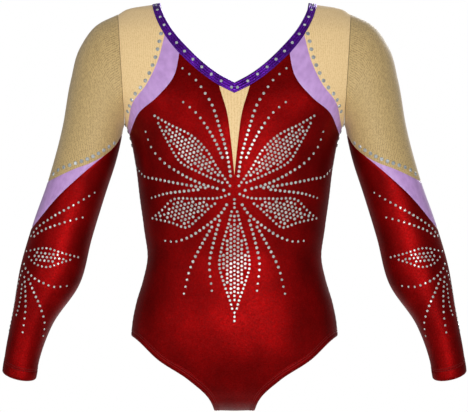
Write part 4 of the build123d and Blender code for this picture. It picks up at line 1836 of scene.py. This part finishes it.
class LEOTARD_OT_stage(bpy.types.Operator):
    """Adds the pale floor, the soft studio lights and the camera."""

    bl_idname = "leotard.stage"
    bl_label = "Stage"

    def execute(self, context):
        self.floor()
        self.world(context.scene)
        self.light("Key", (0.4, -2.7, -0.14), (0, 0, -0.25), 1.4, 39)
        self.light("Fill", (-1.9, -2.1, -0.1), (0, 0, -0.3), 1.2, 12)
        self.light("Back", (0.9, 2.4, 0.8), (0, 0, -0.25), 1.2, 46)
        self.light("Top", (0.0, -0.3, 2.2), (0, 0, 0), 1.4, 7)
        data = bpy.data.cameras.new("Camera")
        data.sensor_width = 36
        data.lens = 800
        camera = bpy.data.objects.new("Camera", data)
        context.scene.collection.objects.link(camera)
        camera.location = (-0.0006, -13.867, -0.2707)
        camera.rotation_euler = (pi / 2, 0, 0)
        context.scene.camera = camera
        context.scene.view_settings.view_transform = "Standard"
        return {"FINISHED"}

    def floor(self):
        """A round, matt, pale floor well below the garment."""
        count, level, radii = 96, -0.85, (1.0, 2.0, 2.8)
        turns = np.linspace(0, 2 * pi, count, endpoint=False)
        points = [(0.0, 0.0, level)] + [(r * cos(t), r * sin(t), level) for r in radii for t in turns]
        pairs = [(k, (k + 1) % count) for k in range(count)]
        faces = [(0, 1 + k, 1 + after) for k, after in pairs]
        for ring in range(len(radii) - 1):
            inner, outer = 1 + ring * count, 1 + (ring + 1) * count
            faces += [(inner + k, outer + k, outer + after, inner + after) for k, after in pairs]
        mesh = bpy.data.meshes.new("studio_floor")
        mesh.from_pydata(points, [], faces)
        material, tree = new_material("Matt white studio board")
        place = add(tree, "ShaderNodeTexCoord").outputs["Object"]
        cloud = add(tree, "ShaderNodeTexNoise", {"Vector": place, "Scale": 3.0, "Detail": 4.0})
        ramp = add(
            tree,
            "ShaderNodeValToRGB",
            {"Fac": cloud.outputs["Fac"]},
            [(0.3, paint("#E9E9E7")), (0.7, paint("#F2F2F0"))],
        )
        bump = add(
            tree,
            "ShaderNodeBump",
            {"Strength": 0.05, "Distance": 0.001, "Height": cloud.outputs["Fac"]},
        )
        shader = add(
            tree,
            "ShaderNodeBsdfPrincipled",
            {"Base Color": ramp.outputs["Color"], "Roughness": 0.9, "Normal": bump.outputs["Normal"]},
        )
        add(tree, "ShaderNodeOutputMaterial", {"Surface": shader.outputs["BSDF"]})
        mesh.materials.append(material)
        floor = bpy.data.objects.new("studio_floor", mesh)
        bpy.context.scene.collection.objects.link(floor)

    def world(self, scene):
        """White all round, with less light from it than it shows."""
        world = bpy.data.worlds.new("Studio")
        world.use_nodes = True
        tree = world.node_tree
        tree.nodes.clear()
        path = add(tree, "ShaderNodeLightPath")
        seen = add(tree, "ShaderNodeBackground", {"Color": (1.0, 1.0, 1.0, 1.0), "Strength": 1.0})
        lit = add(tree, "ShaderNodeBackground", {"Color": (1.0, 1.0, 1.0, 1.0), "Strength": 0.24})
        mixed = add(tree, "ShaderNodeMixShader", {"Fac": path.outputs["Is Camera Ray"]})
        tree.links.new(lit.outputs["Background"], mixed.inputs[1])
        tree.links.new(seen.outputs["Background"], mixed.inputs[2])
        add(tree, "ShaderNodeOutputWorld", {"Surface": mixed.outputs["Shader"]})
        scene.world = world

    def light(self, name, place, aim, size, power):
        """A round studio lamp aimed at a point."""
        data = bpy.data.lights.new(name, "AREA")
        data.shape = "DISK"
        data.size = size
        data.energy = power
        lamp = bpy.data.objects.new(name, data)
        bpy.context.scene.collection.objects.link(lamp)
        lamp.location = place
        lamp.rotation_euler = (Vector(aim) - Vector(place)).to_track_quat("-Z", "Y").to_euler()


class LEOTARD_PT_panel(bpy.types.Panel):
    """Lists the leotard's sizes and the steps that make it."""

    bl_label = "Leotard"
    bl_idname = "LEOTARD_PT_panel"
    bl_space_type = "VIEW_3D"
    bl_region_type = "UI"
    bl_category = "Leotard"

    def draw(self, context):
        for group in settings():
            for name in group.bl_rna.properties.keys():
                if name not in ("rna_type", "name"):
                    self.layout.prop(group, name)
        for step in STEPS:
            self.layout.operator(step.bl_idname)


STEPS = (
    LEOTARD_OT_stage,
    LEOTARD_OT_body_panels,
    LEOTARD_OT_linings,
    LEOTARD_OT_neck,
    LEOTARD_OT_legs,
    LEOTARD_OT_seams,
    LEOTARD_OT_labels,
    LEOTARD_OT_sleeves,
    LEOTARD_OT_edge_crystals,
    LEOTARD_OT_motif_crystals,
    LEOTARD_OT_stitches,
)
GROUPS = {"leotard_fabric": FabricSizes, "leotard_stones": StoneSizes, "leotard_colours": FinishColours}


def register():
    for kind in (*GROUPS.values(), *STEPS, LEOTARD_PT_panel):
        bpy.utils.register_class(kind)
    for name, kind in GROUPS.items():
        setattr(bpy.types.Scene, name, bpy.props.PointerProperty(type=kind))


def unregister():
    for name in GROUPS:
        delattr(bpy.types.Scene, name)
    for kind in (LEOTARD_PT_panel, *STEPS[::-1], *GROUPS.values()):
        bpy.utils.unregister_class(kind)


def main():
    register()
    bpy.ops.leotard.stage()
    bpy.ops.leotard.body_panels()
    bpy.ops.leotard.linings()
    bpy.ops.leotard.neck()
    bpy.ops.leotard.legs()
    bpy.ops.leotard.seams()
    bpy.ops.leotard.labels()
    bpy.ops.leotard.sleeves()
    bpy.ops.leotard.edge_crystals()
    bpy.ops.leotard.motif_crystals()
    bpy.ops.leotard.stitches()


if __name__ == "__main__":
    main()
